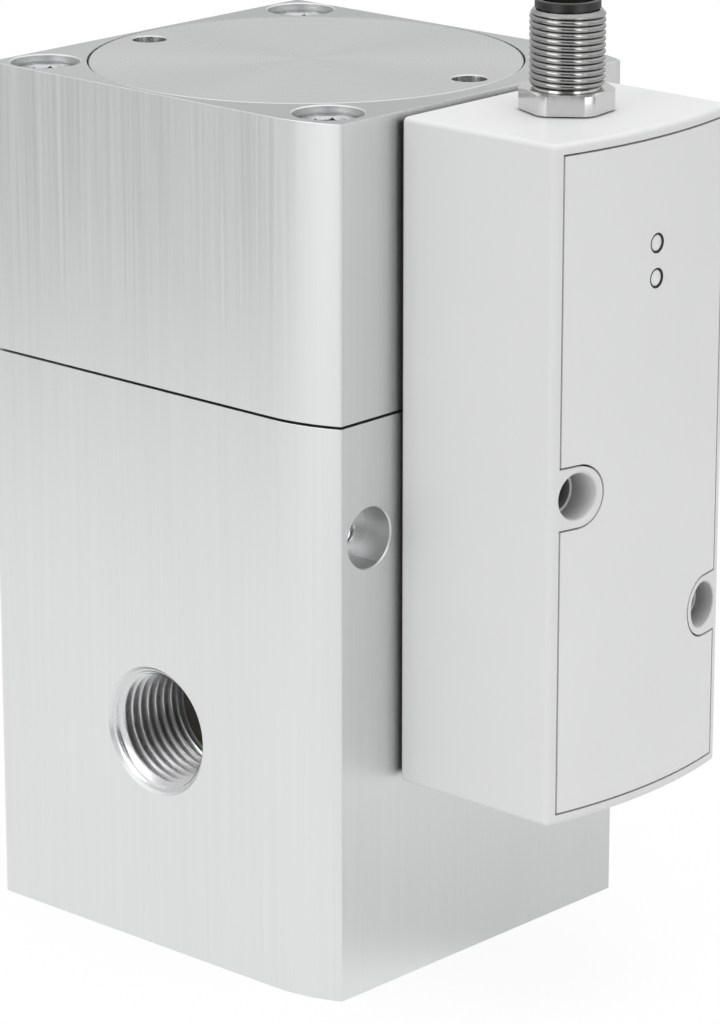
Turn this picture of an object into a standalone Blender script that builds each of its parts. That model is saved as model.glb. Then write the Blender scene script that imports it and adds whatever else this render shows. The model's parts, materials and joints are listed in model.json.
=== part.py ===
"""Electro pneumatic regulator: a two-part valve block with a pilot and electronics housing on its side.

Lengths are in metres. The modelling frame has its origin at the centre of the block's bottom face,
with +Z up, +X towards the electronics housing and the inlet port facing -Y. One empty carries every
piece and shifts them along X, so that the world origin lies under the middle of the whole regulator.
"""

import math

import bmesh
import bpy
from mathutils import Vector

# Fits
GAP = 0.0003
GROOVE_WIDTH = 0.00035

# Facets of round shapes
LARGE_FACETS = 36
PORT_FACETS = 24
MEDIUM_FACETS = 22
HOLE_FACETS = 18
SMALL_FACETS = 12
BORE_FACETS = 10
O_RING_FACETS = 18
O_RING_SECTION_FACETS = 6
CROWN_FACETS = 8
ARC_FACETS = 8
TAB_FACETS = 12
DRILLING_FACETS = 8
PIN_FACETS = 6
HEXAGON = 6

# Valve block
BLOCK_LENGTH = 0.076
BLOCK_DEPTH = 0.074
LOWER_HEIGHT = 0.0968
UPPER_HEIGHT = 0.0484
UPPER_INSET = 0.00025
SIDE_ARC_LENGTH = 0.0125
SIDE_ARC_DEPTH = 0.003
BLOCK_CHAMFER = 0.0002
VALVE_X = -0.0012
WALL = 0.0017

# Ports
PORT_HEIGHT = 0.038
PORT_THREAD_RADIUS = 0.01055
PORT_BORE_RADIUS = 0.0093
PORT_CHAMFER = 0.0005
PORT_END_WALL = 0.004
REAR_BORE_LENGTH = 0.0005
CHAMBER_OVERLAP = 0.005
PASSAGE_WALL = 0.0012
PASSAGE_WINDOW_RISE = 0.013
PASSAGE_PLUG_SHOULDER = 0.001
PASSAGE_PLUG_LENGTH = 0.006
SIDE_HOLE_INSET = 0.0095
SIDE_HOLE_DROP = 0.0192
SIDE_HOLE_RADIUS = 0.005
SIDE_HOLE_DEPTH = 0.0054
SIDE_THREAD_RADIUS = 0.0025
SIDE_THREAD_DEPTH = 0.006

# Bottom plug
PLUG_RADIUS = 0.0197
PLUG_HEIGHT = 0.0132
PLUG_RECESS = 0.0005
PLUG_PIN_RADIUS = 0.002
PLUG_PIN_DEPTH = 0.004
PLUG_PIN_CIRCLE = 0.0135
EXHAUST_RADIUS = 0.00833
EXHAUST_DEPTH = 0.007
GUIDE_BOSS_HEIGHT = 0.0065
PLUG_O_RING_RISE = 0.0092

# Main valve
CHAMBER_RADIUS = 0.017
WEB_THICKNESS = 0.007
SEAT_RADIUS = 0.0122
SEAT_OPENING_RADIUS = 0.009
SEAT_FLANGE_RADIUS = 0.0145
SEAT_FLANGE_THICKNESS = 0.0017
SEAT_LIP_WIDTH = 0.001
SEAT_LIP_HEIGHT = 0.0006
POPPET_SHAFT_RADIUS = 0.006
POPPET_BORE_RADIUS = 0.0035
POPPET_FLANGE_RADIUS = 0.013
POPPET_FLANGE_THICKNESS = 0.003
POPPET_NECK_RADIUS = 0.005
POPPET_NECK_RISE = 0.002
POPPET_TAIL_RISE = 0.0045
POPPET_SEAL_THICKNESS = 0.0028
POPPET_SPRING_RADIUS = 0.012
POPPET_SPRING_WIRE = 0.0008
POPPET_SPRING_TURNS = 4
POPPET_SPRING_FACETS = 10
POPPET_WIRE_FACETS = 6

# Piston and its cylinder
CONTROL_SPACE = 0.0038
PISTON_HEIGHT = 0.014
PISTON_REST_HEIGHT = 0.0055
PISTON_HUB_RADIUS = 0.009
PISTON_RIM_WIDTH = 0.0055
PISTON_UNDER_DISH = 0.005
PISTON_TOP_DISH = 0.003
STEM_RADIUS = 0.005
STEM_SPIGOT_RADIUS = 0.003
STEM_NUT_WIDTH = 0.010
STEM_NUT_HEIGHT = 0.004
STEM_END = 0.0012
BUSH_RADIUS = 0.0077
BUSH_FLANGE_RADIUS = 0.010
BUSH_FLANGE_THICKNESS = 0.0015
FEEDBACK_RADIUS = 0.0015
FEEDBACK_OFFSET = 0.014

# Top cover
COVER_RIM = 0.00085
COVER_SHOULDER = 0.0077
COVER_THICKNESS = 0.0087
COVER_BOSS_HEIGHT = 0.0065
COVER_CHAMFER = 0.0004
COVER_RECESS_RADIUS = 0.0095
COVER_RECESS_DEPTH = 0.0055
COVER_PIN_RADIUS = 0.0029
COVER_PIN_DEPTH = 0.006
COVER_PIN_INSET = 0.0047
COVER_PIN_ANGLE = math.radians(11)

# O-rings, by half their section
COVER_O_RING = 0.0012
PISTON_O_RING = 0.0015
BODY_O_RING = 0.0012
BODY_O_RING_WALL = 0.0015
PLUG_O_RING = 0.0009
GUIDE_O_RING = 0.0012

# Body screws: M6 with a socket head
SCREW_LEFT_INSET = 0.0069
SCREW_LEFT_SIDE_INSET = 0.0065
SCREW_RIGHT_INSET = 0.0077
SCREW_RIGHT_SIDE_INSET = 0.0084
SCREW_SINK = 0.0012
SCREW_HEAD_RADIUS = 0.005
SCREW_HEAD_HEIGHT = 0.006
SCREW_SHANK_RADIUS = 0.003
SCREW_ENGAGEMENT = 0.0085
SCREW_EDGE = 0.0004
SCREW_SOCKET_WIDTH = 0.005
SCREW_SOCKET_DEPTH = 0.003
COUNTERBORE_RADIUS = 0.00575
HOLE_SPARE = 0.003

# Pilot air drillings in the right side of the block
DRILLING_RADIUS = 0.0015
SUPPLY_DRILLING_RISE = 0.010
SENSOR_DRILLING_RISE = 0.014
CONTROL_DRILLING_RADIUS = 0.001

# Electronics housing
GASKET_THICKNESS = 0.0004
GASKET_INSET = 0.0012
HOUSING_DROP = 0.0005
HOUSING_HEIGHT = 0.110
HOUSING_HALF_WIDTH = 0.0213
HOUSING_SIDE_DEPTH = 0.0312
HOUSING_CROWN = 0.0026
HOUSING_ROUNDING = 0.0012
HOUSING_RIM = 0.00165
HOUSING_WALL = 0.0033
HOUSING_BACK_WALL = 0.002
PANEL_THICKNESS = 0.0022
TAB_HALF_HEIGHT = 0.0049
TUNNEL_MOUTH_RADIUS = 0.0038
TUNNEL_THROAT_RADIUS = 0.0034
TUNNEL_THROAT_DEPTH = 0.0043
TUNNEL_RADIUS = 0.003
TUNNEL_FLOOR = 0.0037
NEAR_TUNNEL_INSET = 0.0054
NEAR_TUNNEL_DROP = 0.0082
FAR_TUNNEL_INSET = 0.0053
FAR_TUNNEL_RISE = 0.0283
HOUSING_SCREW_HEAD_HEIGHT = 0.003
HOUSING_SCREW_RADIUS = 0.0015
HOUSING_SCREW_LENGTH = 0.010
HOUSING_SCREW_SOCKET_WIDTH = 0.0025
HOUSING_SCREW_SOCKET_DEPTH = 0.0016
HOUSING_HOLE_SPARE = 0.0015

# Circuit board
BOARD_THICKNESS = 0.0016
BOARD_SINK = 0.0096
BOARD_SIDE_CLEARANCE = 0.0006
BOARD_TOP_CLEARANCE = 0.011
BOARD_BOTTOM_CLEARANCE = 0.005
POST_RADIUS = 0.0025
POST_HOLE_RADIUS = 0.0011
POST_HOLE_DEPTH = 0.008
POST_INSET = 0.0068
POST_DROP = 0.018
POST_RISE = 0.010
BOARD_SCREW_RADIUS = 0.0008
BOARD_SCREW_HEAD_RADIUS = 0.0019
BOARD_SCREW_HEAD_HEIGHT = 0.0014
BOARD_SCREW_LENGTH = 0.006
CHIP_WIDTH = 0.010
CHIP_THICKNESS = 0.0016
CHIP_DROP = 0.055
LED_WIDTH = 0.0016
LED_THICKNESS = 0.0008
LIGHT_Y = 0.0006
LIGHT_DROP = 0.0186
LIGHT_SPACING = 0.0056
LIGHT_RADIUS = 0.00135
LIGHT_FLANGE_RADIUS = 0.0022
LIGHT_FLANGE_THICKNESS = 0.001
LIGHT_SINK = 0.0001

# Pilot manifold
VALVE_SPACE = 0.0139
MANIFOLD_HALF_WIDTH = 0.008
MANIFOLD_BOTTOM_CLEARANCE = 0.007
MANIFOLD_TOP_CLEARANCE = 0.012
LEDGE_REACH = 0.0105
LEDGE_THICKNESS = 0.003
GALLERY_RADIUS = 0.001
LEDGE_DRILLING_RADIUS = 0.0008
ORIFICE_RADIUS = 0.0005
NOZZLE_RADIUS = 0.0014
NOZZLE_HEIGHT = 0.0015
SENSOR_RADIUS = 0.004
SENSOR_CAP_RADIUS = 0.0028
SENSOR_LENGTH = 0.0055
SENSOR_CAP_LENGTH = 0.0015

# Solenoid valves, measured up from each ledge
SUPPLY_LEDGE_DROP = 0.057
VENT_LEDGE_DROP = 0.035
SOLENOID_OFFSET = 0.0065
YOKE_PLATE = 0.0015
YOKE_HALF_WIDTH = 0.0045
YOKE_REACH = 0.006
COIL_HEIGHT = 0.0115
CORE_RADIUS = 0.0025
CORE_HEAD_RADIUS = 0.004
CORE_HEAD_HEIGHT = 0.001
CORE_INSERTION = 0.0060
PLUNGER_TRAVEL = 0.0006
PLUNGER_SPRING_RADIUS = 0.0011
PLUNGER_SPRING_WIRE = 0.00015
PLUNGER_SPRING_TURNS = 4
PLUNGER_SPRING_FACETS = 7
PLUNGER_WIRE_FACETS = 4
PLUNGER_POCKET_DEPTH = 0.003

# Plug connector
CONNECTOR_OFFSET = 0.0156
HEX_WIDTH = 0.014
HEX_CORNER_RADIUS = 0.0076
HEX_HEIGHT = 0.0034
HEX_TURN = math.radians(8.5)
UNDERCUT_RADIUS = 0.0053
UNDERCUT_HEIGHT = 0.001
CONNECTOR_THREAD_RADIUS = 0.006
CONNECTOR_THREAD_LENGTH = 0.0113
CONNECTOR_THREAD_CHAMFER = 0.0006
CONNECTOR_BORE_RADIUS = 0.005
CONNECTOR_TAIL_LENGTH = 0.0083
INSERT_FLANGE_RADIUS = 0.0052
INSERT_FLANGE_THICKNESS = 0.0013
INSERT_CAVITY_RADIUS = 0.0043
INSERT_CAVITY_DEPTH = 0.0096
INSERT_BOTTOM_LENGTH = 0.0053
KEY_WIDTH = 0.0012
KEY_HEIGHT = 0.0006
PIN_RADIUS = 0.0005
PIN_CIRCLE = 0.0025
OUTER_PINS = 4
PIN_TIP_SINK = 0.0021
PIN_TAIL = 0.0175
NUT_WIDTH = 0.015
NUT_HEIGHT = 0.003
CONNECTOR_SEAL_RADIUS = 0.0085
CONNECTOR_SEAL_THICKNESS = 0.0005

# Places worked out from the sizes above
LEFT_END = -BLOCK_LENGTH / 2
BLOCK_RIGHT = BLOCK_LENGTH / 2
BLOCK_FACE = BLOCK_DEPTH / 2
UPPER_LOW = LOWER_HEIGHT + GAP
UPPER_TOP = UPPER_LOW + UPPER_HEIGHT
COVER_RADIUS = min(VALVE_X - LEFT_END, BLOCK_FACE) - UPPER_INSET - COVER_RIM
COVER_PIN_CIRCLE = COVER_RADIUS - COVER_PIN_INSET
COVER_LOW = UPPER_TOP - COVER_THICKNESS
COVER_BOSS_LOW = COVER_LOW - COVER_BOSS_HEIGHT
PISTON_BORE_RADIUS = COVER_RADIUS - COVER_SHOULDER
PISTON_RADIUS = PISTON_BORE_RADIUS - GAP
PISTON_TOP = COVER_BOSS_LOW - CONTROL_SPACE
PISTON_LOW = PISTON_TOP - PISTON_HEIGHT
FLOOR_TOP = PISTON_LOW - PISTON_REST_HEIGHT
CONTROL_DRILLING_HEIGHT = (PISTON_TOP + COVER_BOSS_LOW) / 2
SCREW_LEFT = LEFT_END + SCREW_LEFT_INSET
SCREW_LEFT_Y = BLOCK_FACE - SCREW_LEFT_SIDE_INSET
SCREW_RIGHT = BLOCK_RIGHT - SCREW_RIGHT_INSET
SCREW_RIGHT_Y = BLOCK_FACE - SCREW_RIGHT_SIDE_INSET
SCREW_HEAD_LOW = UPPER_TOP - SCREW_SINK - SCREW_HEAD_HEIGHT
SCREW_LENGTH = SCREW_HEAD_LOW - LOWER_HEIGHT + SCREW_ENGAGEMENT
PORT_THREAD_DEPTH = BLOCK_FACE - CHAMBER_RADIUS - PORT_END_WALL
SEAL_GROOVE_INNER = CHAMBER_RADIUS + BODY_O_RING_WALL
SEAL_GROOVE_OUTER = SEAL_GROOVE_INNER + 2 * BODY_O_RING + 2 * GAP
PASSAGE_PLUG_BORE = (BLOCK_FACE - WALL - SEAL_GROOVE_OUTER - PASSAGE_WALL) / 2
PASSAGE_PLUG_RADIUS = PASSAGE_PLUG_BORE - GAP
PASSAGE_RADIUS = PASSAGE_PLUG_RADIUS - PASSAGE_PLUG_SHOULDER
PASSAGE_Y = SEAL_GROOVE_OUTER + PASSAGE_WALL + PASSAGE_PLUG_BORE
SIDE_HOLE_Y = SIDE_HOLE_INSET - BLOCK_FACE
SIDE_HOLE_HEIGHT = LOWER_HEIGHT - SIDE_HOLE_DROP
PLUG_TOP = PLUG_RECESS + PLUG_HEIGHT
WEB_LOW = PORT_HEIGHT + PORT_BORE_RADIUS + WALL
WEB_TOP = WEB_LOW + WEB_THICKNESS
PASSAGE_WINDOW_HEIGHT = WEB_TOP + PASSAGE_WINDOW_RISE
SEAT_FLANGE_LOW = WEB_LOW - GAP - SEAT_FLANGE_THICKNESS
SEAL_TOP = SEAT_FLANGE_LOW - SEAT_LIP_HEIGHT - GAP
POPPET_FLANGE_TOP = SEAL_TOP - POPPET_SEAL_THICKNESS - GAP
POPPET_FLANGE_LOW = POPPET_FLANGE_TOP - POPPET_FLANGE_THICKNESS
POPPET_TOP = WEB_TOP + POPPET_NECK_RISE
POPPET_BOTTOM = PLUG_RECESS + EXHAUST_DEPTH + POPPET_TAIL_RISE
HOUSING_HIGH = UPPER_TOP - HOUSING_DROP
HOUSING_LOW = HOUSING_HIGH - HOUSING_HEIGHT
GASKET_BACK = BLOCK_RIGHT + GAP
HOUSING_BACK = GASKET_BACK + GASKET_THICKNESS + GAP
HOUSING_SIDE = HOUSING_BACK + HOUSING_SIDE_DEPTH
CROWN_X = HOUSING_SIDE + HOUSING_CROWN
CROWN_RADIUS = (HOUSING_HALF_WIDTH**2 + HOUSING_CROWN**2) / (2 * HOUSING_CROWN)
CAVITY_BACK = HOUSING_BACK + HOUSING_BACK_WALL
CAVITY_HALF_WIDTH = HOUSING_HALF_WIDTH - HOUSING_WALL
PANEL_HALF_WIDTH = HOUSING_HALF_WIDTH - HOUSING_RIM - GROOVE_WIDTH
PANEL_LOW = HOUSING_LOW + HOUSING_RIM + GROOVE_WIDTH
PANEL_HIGH = HOUSING_HIGH - HOUSING_RIM - GROOVE_WIDTH
NEAR_TUNNEL = (NEAR_TUNNEL_INSET - HOUSING_HALF_WIDTH, LOWER_HEIGHT - NEAR_TUNNEL_DROP)
FAR_TUNNEL = (HOUSING_HALF_WIDTH - FAR_TUNNEL_INSET, HOUSING_LOW + FAR_TUNNEL_RISE)
TUNNELS = (NEAR_TUNNEL, FAR_TUNNEL)
SUPPLY_DRILLING_HEIGHT = HOUSING_LOW + SUPPLY_DRILLING_RISE
SENSOR_DRILLING_HEIGHT = WEB_TOP + SENSOR_DRILLING_RISE
PILOT_HOLES = (SUPPLY_DRILLING_HEIGHT, SENSOR_DRILLING_HEIGHT, CONTROL_DRILLING_HEIGHT)
BOARD_X = CROWN_X - BOARD_SINK
BOARD_FRONT = BOARD_X + BOARD_THICKNESS
BOARD_TOP = HOUSING_HIGH - BOARD_TOP_CLEARANCE
BOARD_BOTTOM = HOUSING_LOW + BOARD_BOTTOM_CLEARANCE
HIGH_POST = (POST_INSET - HOUSING_HALF_WIDTH, HOUSING_HIGH - POST_DROP)
LOW_POST = (HOUSING_HALF_WIDTH - POST_INSET, HOUSING_LOW + POST_RISE)
POSTS = (HIGH_POST, LOW_POST)
POWER_LIGHT = (LIGHT_Y, HOUSING_HIGH - LIGHT_DROP)
ERROR_LIGHT = (LIGHT_Y, HOUSING_HIGH - LIGHT_DROP - LIGHT_SPACING)
MANIFOLD_BACK = CAVITY_BACK + GAP
MANIFOLD_FRONT = BOARD_X - VALVE_SPACE
MANIFOLD_LOW = HOUSING_LOW + MANIFOLD_BOTTOM_CLEARANCE
MANIFOLD_HIGH = HOUSING_HIGH - MANIFOLD_TOP_CLEARANCE
SUPPLY_LEDGE = HOUSING_HIGH - SUPPLY_LEDGE_DROP
VENT_LEDGE = HOUSING_HIGH - VENT_LEDGE_DROP
SOLENOID_X = MANIFOLD_FRONT + SOLENOID_OFFSET
CONNECTOR_X = HOUSING_BACK + CONNECTOR_OFFSET
HEX_LOW = HOUSING_HIGH + GAP
HEX_TOP = HEX_LOW + HEX_HEIGHT
SHELL_TOP = HEX_TOP + UNDERCUT_HEIGHT + CONNECTOR_THREAD_LENGTH
INSERT_TOP = SHELL_TOP + GAP + INSERT_FLANGE_THICKNESS
SIDEWAYS = (0, math.radians(90), 0)
FRONTWARDS = (math.radians(90), 0, 0)
BACKWARDS = (math.radians(-90), 0, 0)


def clear_scene():
    for obj in list(bpy.data.objects):
        bpy.data.objects.remove(obj, do_unlink=True)


def new_collection(name):
    collection = bpy.data.collections.new(name)
    bpy.context.scene.collection.children.link(collection)
    return collection


def new_material(name, colour, roughness, metallic=0.0):
    material = bpy.data.materials.new(name)
    material.use_nodes = True
    shader = material.node_tree.nodes["Principled BSDF"]
    shader.inputs["Base Color"].default_value = (*colour, 1.0)
    shader.inputs["Roughness"].default_value = roughness
    shader.inputs["Metallic"].default_value = metallic
    return material


def smooth_by_angle(limit):
    """A node group that shades faces smooth and keeps edges sharper than the limit sharp."""
    group = bpy.data.node_groups.new("smooth_by_angle", "GeometryNodeTree")
    group.interface.new_socket("Geometry", in_out="INPUT", socket_type="NodeSocketGeometry")
    group.interface.new_socket("Geometry", in_out="OUTPUT", socket_type="NodeSocketGeometry")
    entry = group.nodes.new("NodeGroupInput")
    smooth = group.nodes.new("GeometryNodeSetShadeSmooth")
    angle = group.nodes.new("GeometryNodeInputMeshEdgeAngle")
    compare = group.nodes.new("FunctionNodeCompare")
    compare.operation = "GREATER_THAN"
    compare.inputs[1].default_value = limit
    sharp = group.nodes.new("GeometryNodeSetShadeSmooth")
    sharp.domain = "EDGE"
    sharp.inputs["Shade Smooth"].default_value = False
    leave = group.nodes.new("NodeGroupOutput")
    group.links.new(entry.outputs[0], smooth.inputs["Geometry"])
    group.links.new(smooth.outputs[0], sharp.inputs["Geometry"])
    group.links.new(angle.outputs[0], compare.inputs[0])
    group.links.new(compare.outputs[0], sharp.inputs["Selection"])
    group.links.new(sharp.outputs[0], leave.inputs[0])
    return group


clear_scene()
PARTS = new_collection("electro_pneumatic_regulator")
CUTTERS = new_collection("cutters")
FRAME = bpy.data.objects.new("regulator_frame", None)
FRAME.location.x = -(CROWN_X + LEFT_END) / 2
PARTS.objects.link(FRAME)
SMOOTHING = smooth_by_angle(math.radians(35))

ALUMINIUM = new_material("machined_aluminium", (0.62, 0.63, 0.63), 0.35, 1.0)
TURNED_ALUMINIUM = new_material("turned_aluminium", (0.66, 0.67, 0.67), 0.28, 1.0)
PLATED_STEEL = new_material("plated_steel", (0.55, 0.56, 0.56), 0.25, 1.0)
SPRING_STEEL = new_material("spring_steel", (0.42, 0.43, 0.44), 0.3, 1.0)
BRASS = new_material("brass", (0.72, 0.55, 0.25), 0.3, 1.0)
GOLD_PLATE = new_material("plated_contact", (0.83, 0.66, 0.28), 0.25, 1.0)
COPPER = new_material("copper_winding", (0.55, 0.24, 0.11), 0.4, 1.0)
RUBBER = new_material("black_rubber", (0.015, 0.015, 0.015), 0.7)
GREY_PLASTIC = new_material("light_grey_housing", (0.68, 0.69, 0.69), 0.45)
PANEL_PLASTIC = new_material("light_grey_panel", (0.72, 0.73, 0.73), 0.5)
BLACK_PLASTIC = new_material("black_plastic", (0.02, 0.02, 0.02), 0.4)
MANIFOLD_PLASTIC = new_material("dark_grey_manifold", (0.09, 0.09, 0.1), 0.5)
BOARD_GREEN = new_material("green_board", (0.02, 0.13, 0.06), 0.45)
LIGHT_PLASTIC = new_material("light_guide", (0.85, 0.86, 0.86), 0.2)


def place(obj, material=None):
    """Puts the object in the parts, or among the cutters without a material, and hangs it on the frame."""
    if material is None:
        CUTTERS.objects.link(obj)
        obj.hide_render = True
        obj.display_type = "WIRE"
    else:
        PARTS.objects.link(obj)
        obj.data.materials.clear()
        obj.data.materials.append(material)
    obj.parent = FRAME
    return obj


def from_bmesh(name, shape, material=None):
    mesh = bpy.data.meshes.new(name)
    shape.to_mesh(mesh)
    shape.free()
    return place(bpy.data.objects.new(name, mesh), material)


def turned(name, profile, material=None, facets=LARGE_FACETS, at=(0, 0, 0), turn=(0, 0, 0)):
    """A turned shape. The profile is (radius, height) points that run down the outer side.

    A profile that starts and ends on the axis is open, and any other is closed into a ring.
    """
    shape = bmesh.new()
    points = [shape.verts.new((radius, 0, height)) for radius, height in profile]
    for first, second in zip(points, points[1:]):
        shape.edges.new((first, second))
    if profile[0][0] > 0:
        shape.edges.new((points[-1], points[0]))
    obj = from_bmesh(name, shape, material)
    obj.location = at
    obj.rotation_euler = turn
    screw = obj.modifiers.new("Turn", "SCREW")
    screw.steps = facets
    screw.render_steps = facets
    screw.use_merge_vertices = True
    screw.merge_threshold = 0.000001
    screw.use_smooth_shade = False
    return obj


def cylinder(name, radius, start, end, material=None, facets=BORE_FACETS):
    """A cylinder between two points. A hexagonal prism has six facets."""
    start, end = Vector(start), Vector(end)
    shape = bmesh.new()
    bmesh.ops.create_cone(
        shape,
        cap_ends=True,
        segments=facets,
        radius1=radius,
        radius2=radius,
        depth=(end - start).length,
    )
    obj = from_bmesh(name, shape, material)
    obj.location = (start + end) / 2
    obj.rotation_euler = (end - start).to_track_quat("Z", "Y").to_euler()
    return obj


def box(name, low, high, material=None):
    low, high = Vector(low), Vector(high)
    shape = bmesh.new()
    bmesh.ops.create_cube(shape, size=1)
    bmesh.ops.scale(shape, vec=high - low, verts=shape.verts)
    obj = from_bmesh(name, shape, material)
    obj.location = (low + high) / 2
    return obj


def mesh_of(obj):
    """The object's evaluated mesh, welded. The object is removed."""
    graph = bpy.context.evaluated_depsgraph_get()
    mesh = bpy.data.meshes.new_from_object(obj.evaluated_get(graph))
    shape = bmesh.new()
    shape.from_mesh(mesh)
    bmesh.ops.remove_doubles(shape, verts=shape.verts, dist=0.000001)
    shape.to_mesh(mesh)
    shape.free()
    bpy.data.objects.remove(obj, do_unlink=True)
    return mesh


def plate(name, outline, low, high, material=None, turn=(0, 0, 0), at=(0, 0, 0)):
    """An outline in the XY plane, extruded from low to high along Z, then turned and moved as a whole."""
    curve = bpy.data.curves.new(name, "CURVE")
    curve.dimensions = "2D"
    curve.fill_mode = "BOTH"
    curve.extrude = (high - low) / 2
    spline = curve.splines.new("POLY")
    spline.points.add(len(outline) - 1)
    for point, (x, y) in zip(spline.points, outline):
        point.co = (x, y, 0, 1)
    spline.use_cyclic_u = True
    drawn = bpy.data.objects.new(name + "_outline", curve)
    CUTTERS.objects.link(drawn)
    mesh = mesh_of(drawn)
    mesh.name = name
    bpy.data.curves.remove(curve)
    shape = bmesh.new()
    shape.from_mesh(mesh)
    bmesh.ops.translate(shape, vec=(0, 0, (low + high) / 2), verts=shape.verts)
    bmesh.ops.recalc_face_normals(shape, faces=shape.faces)
    shape.to_mesh(mesh)
    shape.free()
    obj = place(bpy.data.objects.new(name, mesh), material)
    obj.rotation_euler = turn
    obj.location = at
    return obj


def side_plate(name, outline, low, high, material=None):
    """An outline of (y, z) points, extruded along X from low to high."""
    quarter = math.radians(90)
    return plate(name, outline, low, high, material, turn=(quarter, 0, quarter))


def boolean(obj, tool, operation):
    modifier = obj.modifiers.new(tool.name, "BOOLEAN")
    modifier.operation = operation
    modifier.object = tool
    modifier.solver = "EXACT"


def cut(obj, *tools):
    for tool in tools:
        boolean(obj, tool, "DIFFERENCE")


def join(obj, *tools):
    for tool in tools:
        boolean(obj, tool, "UNION")


def bevel(obj, width, segments):
    modifier = obj.modifiers.new("Bevel", "BEVEL")
    modifier.width = width
    modifier.segments = segments
    modifier.limit_method = "ANGLE"
    modifier.angle_limit = math.radians(40)


def ring(name, major, minor, height, material=RUBBER):
    """An O-ring round the valve axis, with its middle at the given height."""
    steps = range(O_RING_SECTION_FACETS)
    angles = [-2 * math.pi * (step + 0.5) / O_RING_SECTION_FACETS for step in steps]
    profile = [(major + minor * math.cos(a), height + minor * math.sin(a)) for a in angles]
    return turned(name, profile, material, O_RING_FACETS, at=(VALVE_X, 0, 0))


def coil_spring(name, radius, wire, low, high, x, turns, facets, wire_facets):
    """A helix of round wire round a vertical axis at x."""
    curve = bpy.data.curves.new(name, "CURVE")
    curve.dimensions = "3D"
    curve.bevel_depth = wire
    curve.bevel_resolution = wire_facets // 2 - 2
    curve.use_fill_caps = True
    spline = curve.splines.new("POLY")
    count = turns * facets
    spline.points.add(count)
    rise = high - low - 2 * wire
    for step, point in enumerate(spline.points):
        angle = 2 * math.pi * step / facets
        height = low + wire + rise * step / count
        point.co = (radius * math.cos(angle), radius * math.sin(angle), height, 1)
    path = bpy.data.objects.new(name + "_path", curve)
    CUTTERS.objects.link(path)
    mesh = mesh_of(path)
    bpy.data.curves.remove(curve)
    mesh.name = name
    obj = place(bpy.data.objects.new(name, mesh), SPRING_STEEL)
    obj.location = (x, 0, 0)
    return obj


def groove(outer, depth_radius, middle, half_height):
    """Profile points, going down, of a groove in an outer side of the given radius."""
    top = middle + half_height
    bottom = middle - half_height
    return [(outer, top), (depth_radius, top), (depth_radius, bottom), (outer, bottom)]


def block_outline(inset=0.0):
    """The block seen from above: flat faces, with the front and back rounded away towards the housing."""
    left = LEFT_END + inset
    right = BLOCK_RIGHT - inset
    half = BLOCK_FACE - inset
    radius = (SIDE_ARC_LENGTH**2 + SIDE_ARC_DEPTH**2) / (2 * SIDE_ARC_DEPTH)
    end = math.asin(SIDE_ARC_LENGTH / radius)
    start = BLOCK_RIGHT - SIDE_ARC_LENGTH - inset
    arc = []
    for step in range(ARC_FACETS + 1):
        angle = end * step / ARC_FACETS
        arc.append((start + radius * math.sin(angle), half - radius * (1 - math.cos(angle))))
    front = [(x, -y) for x, y in arc]
    arc[-1] = (right, arc[-1][1])
    front[-1] = (right, front[-1][1])
    return [(left, -half)] + front + arc[::-1] + [(left, half)]


def screw_places():
    return [
        (SCREW_LEFT, -SCREW_LEFT_Y),
        (SCREW_LEFT, SCREW_LEFT_Y),
        (SCREW_RIGHT, SCREW_RIGHT_Y),
        (SCREW_RIGHT, -SCREW_RIGHT_Y),
    ]


def port_cutter(name, inner_end, turn):
    face = BLOCK_FACE
    outside = face + HOLE_SPARE
    mouth = PORT_THREAD_RADIUS + PORT_CHAMFER
    profile = [
        (0, outside),
        (mouth, outside),
        (mouth, face),
        (PORT_THREAD_RADIUS, face - PORT_CHAMFER),
        (PORT_THREAD_RADIUS, face - PORT_THREAD_DEPTH),
        (PORT_BORE_RADIUS, face - PORT_THREAD_DEPTH),
        (PORT_BORE_RADIUS, inner_end),
        (0, inner_end),
    ]
    return turned(name, profile, facets=PORT_FACETS, at=(VALVE_X, 0, PORT_HEIGHT), turn=turn)


def lower_body():
    body = plate("lower_body", block_outline(), 0, LOWER_HEIGHT, ALUMINIUM)
    bevel(body, BLOCK_CHAMFER, 1)
    plug_bore = PLUG_RADIUS + GAP
    seat_bore = SEAT_RADIUS + GAP
    valve_bore = [
        (0, LOWER_HEIGHT + HOLE_SPARE),
        (CHAMBER_RADIUS, LOWER_HEIGHT + HOLE_SPARE),
        (CHAMBER_RADIUS, WEB_TOP),
        (seat_bore, WEB_TOP),
        (seat_bore, WEB_LOW),
        (CHAMBER_RADIUS, WEB_LOW),
        (CHAMBER_RADIUS, PLUG_TOP + GAP),
        (plug_bore, PLUG_TOP + GAP),
        (plug_bore, -HOLE_SPARE),
        (0, -HOLE_SPARE),
    ]
    seal_floor = LOWER_HEIGHT - 2 * BODY_O_RING - GAP
    seal_groove = [
        (SEAL_GROOVE_OUTER, LOWER_HEIGHT + HOLE_SPARE),
        (SEAL_GROOVE_OUTER, seal_floor),
        (SEAL_GROOVE_INNER, seal_floor),
        (SEAL_GROOVE_INNER, LOWER_HEIGHT + HOLE_SPARE),
    ]
    rear_end = BLOCK_FACE - PORT_THREAD_DEPTH - REAR_BORE_LENGTH
    cut(
        body,
        turned("valve_bore_cutter", valve_bore, facets=MEDIUM_FACETS, at=(VALVE_X, 0, 0)),
        turned("seal_groove_cutter", seal_groove, facets=MEDIUM_FACETS, at=(VALVE_X, 0, 0)),
        port_cutter("front_port_cutter", CHAMBER_RADIUS - CHAMBER_OVERLAP, FRONTWARDS),
        port_cutter("rear_port_cutter", rear_end, BACKWARDS),
    )
    cut(body, *outlet_passage_cutters(), *side_cutters())
    cut(body, *body_screw_hole_cutters(), *housing_screw_hole_cutters())


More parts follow.
